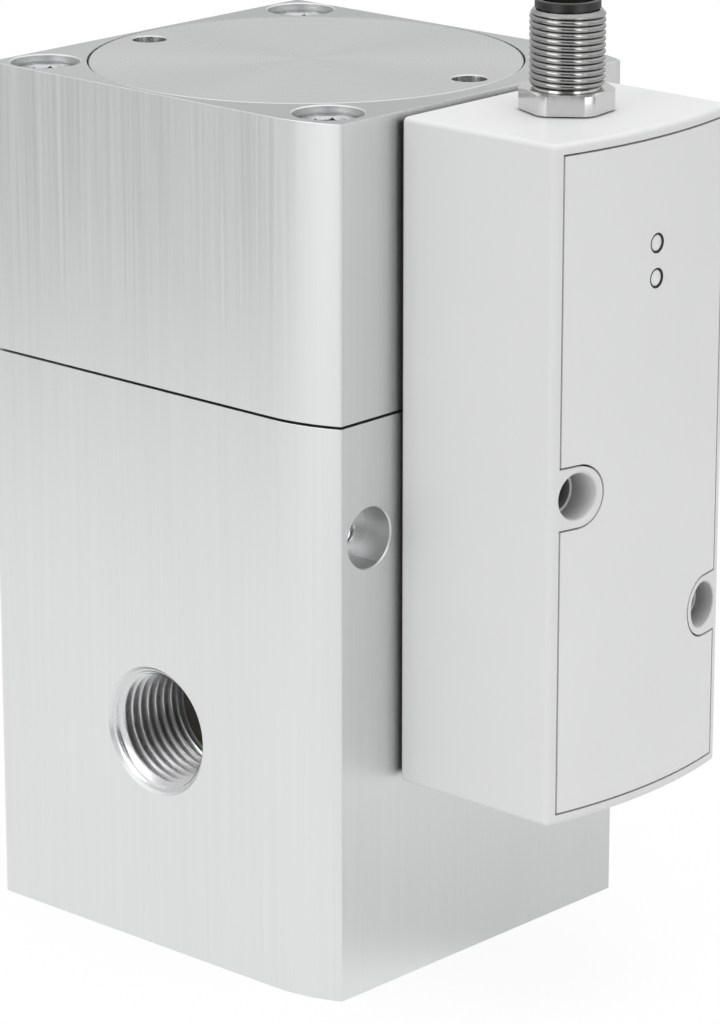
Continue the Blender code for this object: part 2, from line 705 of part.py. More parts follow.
def outlet_passage_cutters():
    """The drilling behind the outlet chamber, its cross window and the seat of its plug."""
    plug_floor = LOWER_HEIGHT - PASSAGE_PLUG_LENGTH - 2 * GAP
    return [
        cylinder(
            "passage_cutter",
            PASSAGE_RADIUS,
            (VALVE_X, PASSAGE_Y, PORT_HEIGHT),
            (VALVE_X, PASSAGE_Y, LOWER_HEIGHT + HOLE_SPARE),
            facets=SMALL_FACETS,
        ),
        cylinder(
            "passage_plug_cutter",
            PASSAGE_PLUG_BORE,
            (VALVE_X, PASSAGE_Y, plug_floor),
            (VALVE_X, PASSAGE_Y, LOWER_HEIGHT + HOLE_SPARE),
            facets=SMALL_FACETS,
        ),
        cylinder(
            "passage_window_cutter",
            PASSAGE_RADIUS,
            (VALVE_X, CHAMBER_RADIUS - CHAMBER_OVERLAP, PASSAGE_WINDOW_HEIGHT),
            (VALVE_X, PASSAGE_Y, PASSAGE_WINDOW_HEIGHT),
            facets=SMALL_FACETS,
        ),
    ]


def side_cutters():
    """The counterbored threaded hole and the pilot air drillings in the right face."""
    outside = BLOCK_RIGHT + HOLE_SPARE
    step = BLOCK_RIGHT - SIDE_HOLE_DEPTH
    end = step - SIDE_THREAD_DEPTH
    hole = [
        (0, outside),
        (SIDE_HOLE_RADIUS, outside),
        (SIDE_HOLE_RADIUS, step),
        (SIDE_THREAD_RADIUS, step),
        (SIDE_THREAD_RADIUS, end),
        (0, end),
    ]
    at = (0, SIDE_HOLE_Y, SIDE_HOLE_HEIGHT)
    cutters = [turned("side_hole_cutter", hole, facets=MEDIUM_FACETS, at=at, turn=SIDEWAYS)]
    inside = VALVE_X + CHAMBER_RADIUS - HOLE_SPARE
    for number, height in enumerate((SUPPLY_DRILLING_HEIGHT, SENSOR_DRILLING_HEIGHT), 1):
        name = f"pilot_drilling_cutter_{number}"
        cutters.append(cylinder(name, DRILLING_RADIUS, (inside, 0, height), (outside, 0, height)))
    return cutters


def body_screw_hole_cutters():
    low = SCREW_HEAD_LOW - SCREW_LENGTH - HOLE_SPARE
    high = LOWER_HEIGHT + HOLE_SPARE
    radius = SCREW_SHANK_RADIUS + GAP
    cutters = []
    for number, (x, y) in enumerate(screw_places(), 1):
        name = f"body_screw_hole_cutter_{number}"
        cutters.append(cylinder(name, radius, (x, y, low), (x, y, high), facets=SMALL_FACETS))
    return cutters


def housing_screw_hole_cutters():
    low = housing_screw_seat() - HOUSING_SCREW_LENGTH - HOUSING_HOLE_SPARE
    high = BLOCK_RIGHT + GAP
    radius = HOUSING_SCREW_RADIUS + GAP
    cutters = []
    for number, (y, z) in enumerate(TUNNELS, 1):
        name = f"housing_screw_hole_cutter_{number}"
        cutters.append(cylinder(name, radius, (low, y, z), (high, y, z)))
    return cutters


def housing_screw_seat():
    """Where the underside of a housing screw's head lies along X."""
    return HOUSING_BACK + TUNNEL_FLOOR + GAP


def upper_body():
    body = plate("upper_body", block_outline(UPPER_INSET), UPPER_LOW, UPPER_TOP, ALUMINIUM)
    bevel(body, BLOCK_CHAMFER, 1)
    bush_bore = BUSH_RADIUS + GAP
    cover_bore = COVER_RADIUS + GAP
    top = UPPER_TOP + HOLE_SPARE
    cylinder_bore = [
        (0, top),
        (cover_bore, top),
        (cover_bore, COVER_LOW - GAP),
        (PISTON_BORE_RADIUS, COVER_LOW - GAP),
        (PISTON_BORE_RADIUS, FLOOR_TOP),
        (bush_bore, FLOOR_TOP),
        (bush_bore, UPPER_LOW - HOLE_SPARE),
        (0, UPPER_LOW - HOLE_SPARE),
    ]
    cut(body, turned("cylinder_bore_cutter", cylinder_bore, at=(VALVE_X, 0, 0)))
    counterbore_floor = SCREW_HEAD_LOW - GAP
    for number, (x, y) in enumerate(screw_places(), 1):
        hole = [
            (0, top),
            (COUNTERBORE_RADIUS, top),
            (COUNTERBORE_RADIUS, counterbore_floor),
            (SCREW_SHANK_RADIUS + GAP, counterbore_floor),
            (SCREW_SHANK_RADIUS + GAP, UPPER_LOW - HOLE_SPARE),
            (0, UPPER_LOW - HOLE_SPARE),
        ]
        cut(body, turned(f"counterbore_cutter_{number}", hole, facets=HOLE_FACETS, at=(x, y, 0)))
    inside = VALVE_X + PISTON_BORE_RADIUS - HOLE_SPARE
    height = CONTROL_DRILLING_HEIGHT
    start, end = (inside, 0, height), (BLOCK_RIGHT + GAP, 0, height)
    cut(body, cylinder("control_drilling_cutter", CONTROL_DRILLING_RADIUS, start, end))
    start = (VALVE_X, -FEEDBACK_OFFSET, UPPER_LOW - HOLE_SPARE)
    end = (VALVE_X, -FEEDBACK_OFFSET, FLOOR_TOP + HOLE_SPARE)
    cut(body, cylinder("feedback_hole_cutter", FEEDBACK_RADIUS, start, end))


def body_screws():
    profile = [
        (0, SCREW_HEAD_HEIGHT),
        (SCREW_HEAD_RADIUS - SCREW_EDGE, SCREW_HEAD_HEIGHT),
        (SCREW_HEAD_RADIUS, SCREW_HEAD_HEIGHT - SCREW_EDGE),
        (SCREW_HEAD_RADIUS, 0),
        (SCREW_SHANK_RADIUS, 0),
        (SCREW_SHANK_RADIUS, -SCREW_LENGTH),
        (0, -SCREW_LENGTH),
    ]
    pattern = turned("body_screw_pattern", profile, PLATED_STEEL, SMALL_FACETS)
    corner = SCREW_SOCKET_WIDTH / math.sqrt(3)
    floor = SCREW_HEAD_HEIGHT - SCREW_SOCKET_DEPTH
    start, end = (0, 0, floor), (0, 0, SCREW_HEAD_HEIGHT + HOLE_SPARE)
    socket = cylinder("body_screw_socket_cutter", corner, start, end, facets=HEXAGON)
    cut(pattern, socket)
    mesh = mesh_of(pattern)
    bpy.data.objects.remove(socket, do_unlink=True)
    for number, (x, y) in enumerate(screw_places(), 1):
        screw = place(bpy.data.objects.new(f"body_screw_{number}", mesh), PLATED_STEEL)
        screw.location = (x, y, SCREW_HEAD_LOW)


def top_cover():
    boss_radius = PISTON_BORE_RADIUS - GAP
    recess_top = COVER_BOSS_LOW + COVER_RECESS_DEPTH
    seat = boss_radius - 2 * COVER_O_RING - GAP
    profile = [
        (0, UPPER_TOP),
        (COVER_RADIUS - COVER_CHAMFER, UPPER_TOP),
        (COVER_RADIUS, UPPER_TOP - COVER_CHAMFER),
        (COVER_RADIUS, COVER_LOW),
        (boss_radius, COVER_LOW),
        *groove(boss_radius, seat, cover_ring_height(), COVER_O_RING + GAP),
        (boss_radius, COVER_BOSS_LOW),
        (COVER_RECESS_RADIUS, COVER_BOSS_LOW),
        (COVER_RECESS_RADIUS, recess_top),
        (0, recess_top),
    ]
    cover = turned("top_cover", profile, TURNED_ALUMINIUM, at=(VALVE_X, 0, 0))
    for number, angle in enumerate((COVER_PIN_ANGLE, COVER_PIN_ANGLE + math.pi), 1):
        x = VALVE_X + COVER_PIN_CIRCLE * math.cos(angle)
        y = COVER_PIN_CIRCLE * math.sin(angle)
        start = (x, y, UPPER_TOP - COVER_PIN_DEPTH)
        end = (x, y, UPPER_TOP + HOLE_SPARE)
        name = f"cover_pin_cutter_{number}"
        cut(cover, cylinder(name, COVER_PIN_RADIUS, start, end, facets=SMALL_FACETS))
    ring("cover_o_ring", boss_radius - COVER_O_RING, COVER_O_RING, cover_ring_height())


def cover_ring_height():
    return (COVER_LOW + COVER_BOSS_LOW) / 2


def bottom_plug():
    o_ring_height = PLUG_RECESS + PLUG_O_RING_RISE
    o_ring_floor = PLUG_RADIUS - 2 * PLUG_O_RING - GAP
    guide_bore = POPPET_SHAFT_RADIUS + GAP
    guide_seat = guide_bore + 2 * GUIDE_O_RING + GAP
    boss_top = PLUG_TOP + GUIDE_BOSS_HEIGHT
    half = GUIDE_O_RING + GAP
    profile = [
        (guide_seat + WALL, boss_top),
        (guide_seat + WALL, PLUG_TOP),
        (PLUG_RADIUS, PLUG_TOP),
        *groove(PLUG_RADIUS, o_ring_floor, o_ring_height, PLUG_O_RING + GAP),
        (PLUG_RADIUS, PLUG_RECESS),
        (EXHAUST_RADIUS + PORT_CHAMFER, PLUG_RECESS),
        (EXHAUST_RADIUS, PLUG_RECESS + PORT_CHAMFER),
        (EXHAUST_RADIUS, PLUG_RECESS + EXHAUST_DEPTH),
        (guide_bore, PLUG_RECESS + EXHAUST_DEPTH),
        (guide_bore, guide_ring_height() - half),
        (guide_seat, guide_ring_height() - half),
        (guide_seat, guide_ring_height() + half),
        (guide_bore, guide_ring_height() + half),
        (guide_bore, boss_top),
    ]
    plug = turned("bottom_plug", profile, ALUMINIUM, MEDIUM_FACETS, at=(VALVE_X, 0, 0))
    for number, side in enumerate((-1, 1), 1):
        x = VALVE_X + side * PLUG_PIN_CIRCLE
        start, end = (x, 0, -HOLE_SPARE), (x, 0, PLUG_RECESS + PLUG_PIN_DEPTH)
        cut(plug, cylinder(f"plug_pin_cutter_{number}", PLUG_PIN_RADIUS, start, end))
    ring("plug_o_ring", PLUG_RADIUS - PLUG_O_RING, PLUG_O_RING, o_ring_height)
    ring("guide_o_ring", guide_bore + GUIDE_O_RING, GUIDE_O_RING, guide_ring_height())


def guide_ring_height():
    return PLUG_TOP + GUIDE_BOSS_HEIGHT / 2


def main_valve():
    hub = POPPET_SHAFT_RADIUS
    seat = [
        (SEAT_RADIUS, WEB_TOP),
        (SEAT_RADIUS, WEB_LOW - GAP),
        (SEAT_FLANGE_RADIUS, WEB_LOW - GAP),
        (SEAT_FLANGE_RADIUS, SEAT_FLANGE_LOW),
        (SEAT_OPENING_RADIUS + SEAT_LIP_WIDTH, SEAT_FLANGE_LOW),
        (SEAT_OPENING_RADIUS + SEAT_LIP_WIDTH / 2, SEAT_FLANGE_LOW - SEAT_LIP_HEIGHT),
        (SEAT_OPENING_RADIUS, SEAT_FLANGE_LOW - SEAT_LIP_HEIGHT),
        (SEAT_OPENING_RADIUS, WEB_TOP),
    ]
    turned("valve_seat", seat, BRASS, MEDIUM_FACETS, at=(VALVE_X, 0, 0))
    poppet = [
        (POPPET_NECK_RADIUS, POPPET_TOP),
        (POPPET_NECK_RADIUS, SEAL_TOP),
        (hub, SEAL_TOP),
        (hub, POPPET_FLANGE_TOP),
        (POPPET_FLANGE_RADIUS, POPPET_FLANGE_TOP),
        (POPPET_FLANGE_RADIUS, POPPET_FLANGE_LOW),
        (POPPET_SHAFT_RADIUS, POPPET_FLANGE_LOW),
        (POPPET_SHAFT_RADIUS, POPPET_BOTTOM),
        (POPPET_BORE_RADIUS, POPPET_BOTTOM),
        (POPPET_BORE_RADIUS, POPPET_TOP),
    ]
    turned("main_poppet", poppet, BRASS, MEDIUM_FACETS, at=(VALVE_X, 0, 0))
    seal = [
        (POPPET_FLANGE_RADIUS, SEAL_TOP),
        (POPPET_FLANGE_RADIUS, POPPET_FLANGE_TOP + GAP),
        (hub + GAP, POPPET_FLANGE_TOP + GAP),
        (hub + GAP, SEAL_TOP),
    ]
    turned("poppet_seal", seal, RUBBER, MEDIUM_FACETS, at=(VALVE_X, 0, 0))
    coil_spring(
        "poppet_spring",
        POPPET_SPRING_RADIUS,
        POPPET_SPRING_WIRE,
        PLUG_TOP + GAP,
        POPPET_FLANGE_LOW - GAP,
        VALVE_X,
        POPPET_SPRING_TURNS,
        POPPET_SPRING_FACETS,
        POPPET_WIRE_FACETS,
    )


def piston_group():
    groove_height = PISTON_LOW + PISTON_HEIGHT / 2
    groove_floor = PISTON_RADIUS - 2 * PISTON_O_RING - GAP
    rim_inner = PISTON_RADIUS - PISTON_RIM_WIDTH
    bore = STEM_SPIGOT_RADIUS + GAP
    piston = [
        (PISTON_RADIUS, PISTON_TOP),
        *groove(PISTON_RADIUS, groove_floor, groove_height, PISTON_O_RING + GAP),
        (PISTON_RADIUS, PISTON_LOW),
        (rim_inner, PISTON_LOW),
        (rim_inner, PISTON_LOW + PISTON_UNDER_DISH),
        (PISTON_HUB_RADIUS, PISTON_LOW + PISTON_UNDER_DISH),
        (PISTON_HUB_RADIUS, PISTON_LOW),
        (bore, PISTON_LOW),
        (bore, PISTON_TOP),
        (PISTON_HUB_RADIUS, PISTON_TOP),
        (PISTON_HUB_RADIUS, PISTON_TOP - PISTON_TOP_DISH),
        (rim_inner, PISTON_TOP - PISTON_TOP_DISH),
        (rim_inner, PISTON_TOP),
    ]
    turned("control_piston", piston, TURNED_ALUMINIUM, MEDIUM_FACETS, at=(VALVE_X, 0, 0))
    ring("piston_seal", PISTON_RADIUS - PISTON_O_RING, PISTON_O_RING, groove_height)
    nut_low = PISTON_TOP + GAP
    nut_top = nut_low + STEM_NUT_HEIGHT
    stem = [
        (0, nut_top + STEM_END),
        (STEM_SPIGOT_RADIUS, nut_top + STEM_END),
        (STEM_SPIGOT_RADIUS, PISTON_LOW - GAP),
        (STEM_RADIUS, PISTON_LOW - GAP),
        (STEM_RADIUS, POPPET_TOP + GAP),
        (0, POPPET_TOP + GAP),
    ]
    turned("valve_stem", stem, PLATED_STEEL, SMALL_FACETS, at=(VALVE_X, 0, 0))
    hexagon_nut("stem_nut", STEM_NUT_WIDTH, bore, nut_low, nut_top, VALVE_X)
    bush_low = UPPER_LOW + GAP
    bush_bore = STEM_RADIUS + GAP
    flange_low = FLOOR_TOP + GAP
    flange_top = flange_low + BUSH_FLANGE_THICKNESS
    bush = [
        (BUSH_FLANGE_RADIUS, flange_top),
        (BUSH_FLANGE_RADIUS, flange_low),
        (BUSH_RADIUS, flange_low),
        (BUSH_RADIUS, bush_low),
        (bush_bore, bush_low),
        (bush_bore, flange_top),
    ]
    turned("stem_bush", bush, BRASS, SMALL_FACETS, at=(VALVE_X, 0, 0))


def hexagon_nut(name, width, bore, low, high, x):
    corner = width / math.sqrt(3)
    nut = cylinder(name, corner, (x, 0, low), (x, 0, high), PLATED_STEEL, facets=HEXAGON)
    start, end = (x, 0, low - HOLE_SPARE), (x, 0, high + HOLE_SPARE)
    cut(nut, cylinder(f"{name}_bore_cutter", bore, start, end, facets=HOLE_FACETS))
    return nut


def block_seals():
    major = SEAL_GROOVE_INNER + GAP + BODY_O_RING
    ring("body_seal_ring", major, BODY_O_RING, LOWER_HEIGHT - BODY_O_RING)
    start = (VALVE_X, PASSAGE_Y, LOWER_HEIGHT - GAP - PASSAGE_PLUG_LENGTH)
    end = (VALVE_X, PASSAGE_Y, LOWER_HEIGHT - GAP)
    cylinder("passage_plug", PASSAGE_PLUG_RADIUS, start, end, BRASS, facets=SMALL_FACETS)


def crown_at(y):
    """The X of the housing's crowned front at the given y."""
    return CROWN_X - CROWN_RADIUS + math.sqrt(CROWN_RADIUS**2 - y**2)


def crown_points(half_width, offset):
    steps = range(CROWN_FACETS + 1)
    places = [half_width * (2 * step / CROWN_FACETS - 1) for step in steps]
    return [(crown_at(y) + offset, y) for y in places]


def crowned_slab(name, half_width, back_offset, front_offset, low, high, material=None):
    """A slab whose back and front follow the crown, each at its own offset along X."""
    front = crown_points(half_width, front_offset)
    back = crown_points(half_width, back_offset)
    return plate(name, front + back[::-1], low, high, material)


def tab_outline(place_on_front, margin):
    """The tongue round a screw tunnel, in (y, z): a half round that runs on past the housing's side."""
    y, z = place_on_front
    side = math.copysign(1, y)
    radius = TAB_HALF_HEIGHT + margin
    angles = [math.pi * step / TAB_FACETS - math.pi / 2 for step in range(TAB_FACETS + 1)]
    round_end = [(y - side * radius * math.cos(a), z + radius * math.sin(a)) for a in angles]
    edge = side * (HOUSING_HALF_WIDTH + GAP)
    return [(edge, z - radius)] + round_end + [(edge, z + radius)]


def tunnel_cutter(number, y, z):
    mouth = crown_at(y)
    floor = HOUSING_BACK + TUNNEL_FLOOR
    profile = [
        (0, mouth + HOLE_SPARE),
        (TUNNEL_MOUTH_RADIUS, mouth + HOLE_SPARE),
        (TUNNEL_MOUTH_RADIUS, mouth),
        (TUNNEL_THROAT_RADIUS, mouth - TUNNEL_THROAT_DEPTH),
        (TUNNEL_RADIUS, mouth - TUNNEL_THROAT_DEPTH),
        (TUNNEL_RADIUS, floor),
        (HOUSING_SCREW_RADIUS + GAP, floor),
        (HOUSING_SCREW_RADIUS + GAP, HOUSING_BACK - HOLE_SPARE),
        (0, HOUSING_BACK - HOLE_SPARE),
    ]
    name = f"tunnel_cutter_{number}"
    return turned(name, profile, facets=HOLE_FACETS, at=(0, y, z), turn=SIDEWAYS)


def electronics_housing():
    """A moulded box with a crowned front, whose rebate and cavity leave the screw tunnels and posts."""
    outline = [(HOUSING_BACK, HOUSING_HALF_WIDTH), (HOUSING_BACK, -HOUSING_HALF_WIDTH)]
    outline += crown_points(HOUSING_HALF_WIDTH, 0)
    housing = plate("electronics_housing", outline, HOUSING_LOW, HOUSING_HIGH, GREY_PLASTIC)
    bevel(housing, HOUSING_ROUNDING, 2)
    rebate_offset = -PANEL_THICKNESS - GAP
    rebate = crowned_slab(
        "panel_rebate_cutter",
        PANEL_HALF_WIDTH + GROOVE_WIDTH,
        rebate_offset,
        HOLE_SPARE,
        PANEL_LOW - GROOVE_WIDTH,
        PANEL_HIGH + GROOVE_WIDTH,
    )
    cavity = box(
        "cavity_cutter",
        (CAVITY_BACK, -CAVITY_HALF_WIDTH, HOUSING_LOW + HOUSING_WALL),
        (CROWN_X + HOLE_SPARE, CAVITY_HALF_WIDTH, HOUSING_HIGH - HOUSING_WALL),
    )
    for number, tunnel in enumerate(TUNNELS, 1):
        end = CROWN_X + 2 * HOLE_SPARE
        column = side_plate(f"tunnel_column_{number}", tab_outline(tunnel, 0), HOUSING_BACK, end)
        cut(rebate, column)
        cut(cavity, column)
    for number, (y, z) in enumerate(POSTS, 1):
        start, end = (HOUSING_BACK, y, z), (BOARD_X - GAP, y, z)
        post = cylinder(f"board_post_{number}", POST_RADIUS, start, end)
        start = (BOARD_X - POST_HOLE_DEPTH, y, z)
        cut(post, cylinder(f"board_post_hole_{number}", POST_HOLE_RADIUS, start, (BOARD_X, y, z)))
        cut(cavity, post)
    cut(housing, rebate, cavity)
    for number, (y, z) in enumerate(TUNNELS, 1):
        cut(housing, tunnel_cutter(number, y, z))
    for number, height in enumerate(PILOT_HOLES, 1):
        start, end = (HOUSING_BACK - GAP, 0, height), (CAVITY_BACK + GAP, 0, height)
        cut(housing, cylinder(f"back_wall_hole_cutter_{number}", CONTROL_DRILLING_RADIUS, start, end))
    start = (CONNECTOR_X, 0, HOUSING_HIGH - HOUSING_WALL - GAP)
    end = (CONNECTOR_X, 0, HOUSING_HIGH + HOLE_SPARE)
    radius = CONNECTOR_THREAD_RADIUS + GAP
    cut(housing, cylinder("connector_hole_cutter", radius, start, end, facets=MEDIUM_FACETS))


def front_cover():
    """The crowned panel in the housing's rim, cut away round both tunnels, with a hole for each light."""
    panel = crowned_slab(
        "front_cover",
        PANEL_HALF_WIDTH,
        -PANEL_THICKNESS,
        0,
        PANEL_LOW,
        PANEL_HIGH,
        PANEL_PLASTIC,
    )
    for number, tunnel in enumerate(TUNNELS, 1):
        outline = tab_outline(tunnel, GROOVE_WIDTH)
        cut(panel, side_plate(f"panel_tab_cutter_{number}", outline, BOARD_X, CROWN_X + HOLE_SPARE))
    for number, (y, z) in enumerate((POWER_LIGHT, ERROR_LIGHT), 1):
        start, end = (BOARD_FRONT, y, z), (CROWN_X + HOLE_SPARE, y, z)
        name = f"light_hole_cutter_{number}"
        cut(panel, cylinder(name, LIGHT_RADIUS + GAP, start, end, facets=SMALL_FACETS))


def housing_gasket():
    y = HOUSING_HALF_WIDTH - GASKET_INSET
    low = HOUSING_LOW + GASKET_INSET
    high = HOUSING_HIGH - GASKET_INSET
    front = GASKET_BACK + GASKET_THICKNESS
    gasket = box("housing_gasket", (GASKET_BACK, -y, low), (front, y, high), RUBBER)
    holes = [(place_on_face, HOUSING_SCREW_RADIUS + GAP) for place_on_face in TUNNELS]
    holes += [((0, height), DRILLING_RADIUS) for height in PILOT_HOLES]
    for number, ((y, z), radius) in enumerate(holes, 1):
        start, end = (BLOCK_RIGHT, y, z), (HOUSING_BACK, y, z)
        cut(gasket, cylinder(f"gasket_hole_cutter_{number}", radius, start, end))


def housing_screws():
    head = TUNNEL_RADIUS - GAP
    seat = housing_screw_seat()
    top = seat + HOUSING_SCREW_HEAD_HEIGHT
    end = seat - HOUSING_SCREW_LENGTH
    profile = [
        (0, top),
        (head, top),
        (head, seat),
        (HOUSING_SCREW_RADIUS, seat),
        (HOUSING_SCREW_RADIUS, end),
        (0, end),
    ]
    corner = HOUSING_SCREW_SOCKET_WIDTH / math.sqrt(3)
    for number, (y, z) in enumerate(TUNNELS, 1):
        name = f"housing_screw_{number}"
        screw = turned(name, profile, PLATED_STEEL, BORE_FACETS, at=(0, y, z), turn=SIDEWAYS)
        start, stop = (top - HOUSING_SCREW_SOCKET_DEPTH, y, z), (top + HOLE_SPARE, y, z)
        cut(screw, cylinder(f"{name}_socket_cutter", corner, start, stop, facets=HEXAGON))


def circuit_board():
    half = CAVITY_HALF_WIDTH - BOARD_SIDE_CLEARANCE
    low, high = (BOARD_X, -half, BOARD_BOTTOM), (BOARD_FRONT, half, BOARD_TOP)
    board = box("circuit_board", low, high, BOARD_GREEN)
    for number, tunnel in enumerate(TUNNELS, 1):
        outline = tab_outline(tunnel, BOARD_SIDE_CLEARANCE)
        name = f"board_notch_cutter_{number}"
        cut(board, side_plate(name, outline, BOARD_X - HOLE_SPARE, BOARD_FRONT + HOLE_SPARE))
    for number, (y, z) in enumerate(POSTS, 1):
        start, end = (BOARD_X - GAP, y, z), (BOARD_FRONT + GAP, y, z)
        cut(board, cylinder(f"board_hole_cutter_{number}", POST_HOLE_RADIUS, start, end))
        seat = BOARD_FRONT + GAP
        profile = [
            (0, seat + BOARD_SCREW_HEAD_HEIGHT),
            (BOARD_SCREW_HEAD_RADIUS, seat + BOARD_SCREW_HEAD_HEIGHT),
            (BOARD_SCREW_HEAD_RADIUS, seat),
            (BOARD_SCREW_RADIUS, seat),
            (BOARD_SCREW_RADIUS, seat - BOARD_SCREW_LENGTH),
            (0, seat - BOARD_SCREW_LENGTH),
        ]
        turned(f"board_screw_{number}", profile, PLATED_STEEL, BORE_FACETS, at=(0, y, z), turn=SIDEWAYS)
    chip_place = (0, HOUSING_HIGH - CHIP_DROP)
    on_board("control_chip", CHIP_WIDTH, CHIP_THICKNESS, chip_place, BLACK_PLASTIC)
    on_board("power_led", LED_WIDTH, LED_THICKNESS, POWER_LIGHT, LIGHT_PLASTIC)
    on_board("error_led", LED_WIDTH, LED_THICKNESS, ERROR_LIGHT, LIGHT_PLASTIC)


def on_board(name, width, thickness, centre, material):
    """A square component on the front of the circuit board."""
    y, z = centre
    back = BOARD_FRONT + GAP
    low = (back, y - width / 2, z - width / 2)
    high = (back + thickness, y + width / 2, z + width / 2)
    return box(name, low, high, material)


def light_guides():
    for name, (y, z) in (("power_light", POWER_LIGHT), ("error_light", ERROR_LIGHT)):
        front = crown_at(abs(y) + LIGHT_RADIUS) - LIGHT_SINK
        flange_top = crown_at(abs(y) + LIGHT_FLANGE_RADIUS) - PANEL_THICKNESS - 2 * GAP
        back = BOARD_FRONT + LED_THICKNESS + 2 * GAP
        profile = [
            (0, front),
            (LIGHT_RADIUS, front),
            (LIGHT_RADIUS, flange_top),
            (LIGHT_FLANGE_RADIUS, flange_top),
            (LIGHT_FLANGE_RADIUS, flange_top - LIGHT_FLANGE_THICKNESS),
            (LIGHT_RADIUS, flange_top - LIGHT_FLANGE_THICKNESS),
            (LIGHT_RADIUS, back),
            (0, back),
        ]
        turned(name, profile, LIGHT_PLASTIC, SMALL_FACETS, at=(0, y, z), turn=SIDEWAYS)


def pilot_manifold():
    """A moulded block on the back wall, with one ledge and nozzle under each solenoid valve."""
    tip = MANIFOLD_FRONT + LEDGE_REACH
    outline = [(MANIFOLD_BACK, MANIFOLD_LOW), (MANIFOLD_FRONT, MANIFOLD_LOW)]
    for ledge in (SUPPLY_LEDGE, VENT_LEDGE):
        under = ledge - LEDGE_THICKNESS
        outline += [(MANIFOLD_FRONT, under), (tip, under), (tip, ledge), (MANIFOLD_FRONT, ledge)]
    outline += [(MANIFOLD_FRONT, MANIFOLD_HIGH), (MANIFOLD_BACK, MANIFOLD_HIGH)]
    half = MANIFOLD_HALF_WIDTH
    manifold = plate("pilot_manifold", outline, -half, half, MANIFOLD_PLASTIC, turn=FRONTWARDS)
    gallery_x = (MANIFOLD_BACK + MANIFOLD_FRONT) / 2
    for number, ledge in enumerate((SUPPLY_LEDGE, VENT_LEDGE), 1):
        start, end = (SOLENOID_X, 0, ledge - GAP), (SOLENOID_X, 0, ledge + NOZZLE_HEIGHT)
        join(manifold, cylinder(f"nozzle_{number}", NOZZLE_RADIUS, start, end))
        middle = ledge - LEDGE_THICKNESS / 2
        end = (SOLENOID_X, 0, ledge + NOZZLE_HEIGHT + GAP)
        cut(
            manifold,
            cylinder(
                f"orifice_cutter_{number}",
                ORIFICE_RADIUS,
                (SOLENOID_X, 0, middle),
                end,
                facets=DRILLING_FACETS,
            ),
            cylinder(
                f"ledge_drilling_cutter_{number}",
                LEDGE_DRILLING_RADIUS,
                (gallery_x, 0, middle),
                (SOLENOID_X + 2 * ORIFICE_RADIUS, 0, middle),
                facets=DRILLING_FACETS,
            ),
        )
    start, end = (gallery_x, 0, MANIFOLD_LOW - GAP), (gallery_x, 0, VENT_LEDGE)
    cut(manifold, cylinder("gallery_cutter", GALLERY_RADIUS, start, end, facets=DRILLING_FACETS))
    for number, height in enumerate(PILOT_HOLES, 1):
        deep = MANIFOLD_FRONT + GAP if height == SENSOR_DRILLING_HEIGHT else gallery_x
        start, end = (MANIFOLD_BACK - GAP, 0, height), (deep, 0, height)
        name = f"manifold_port_cutter_{number}"
        cut(manifold, cylinder(name, CONTROL_DRILLING_RADIUS, start, end, facets=DRILLING_FACETS))
    back = MANIFOLD_FRONT + GAP
    sensor = [
        (0, back + SENSOR_LENGTH + SENSOR_CAP_LENGTH),
        (SENSOR_CAP_RADIUS, back + SENSOR_LENGTH + SENSOR_CAP_LENGTH),
        (SENSOR_CAP_RADIUS, back + SENSOR_LENGTH),
        (SENSOR_RADIUS, back + SENSOR_LENGTH),
        (SENSOR_RADIUS, back),
        (0, back),
    ]
    at = (0, 0, SENSOR_DRILLING_HEIGHT)
    turned("pressure_sensor", sensor, PLATED_STEEL, SMALL_FACETS, at=at, turn=SIDEWAYS)


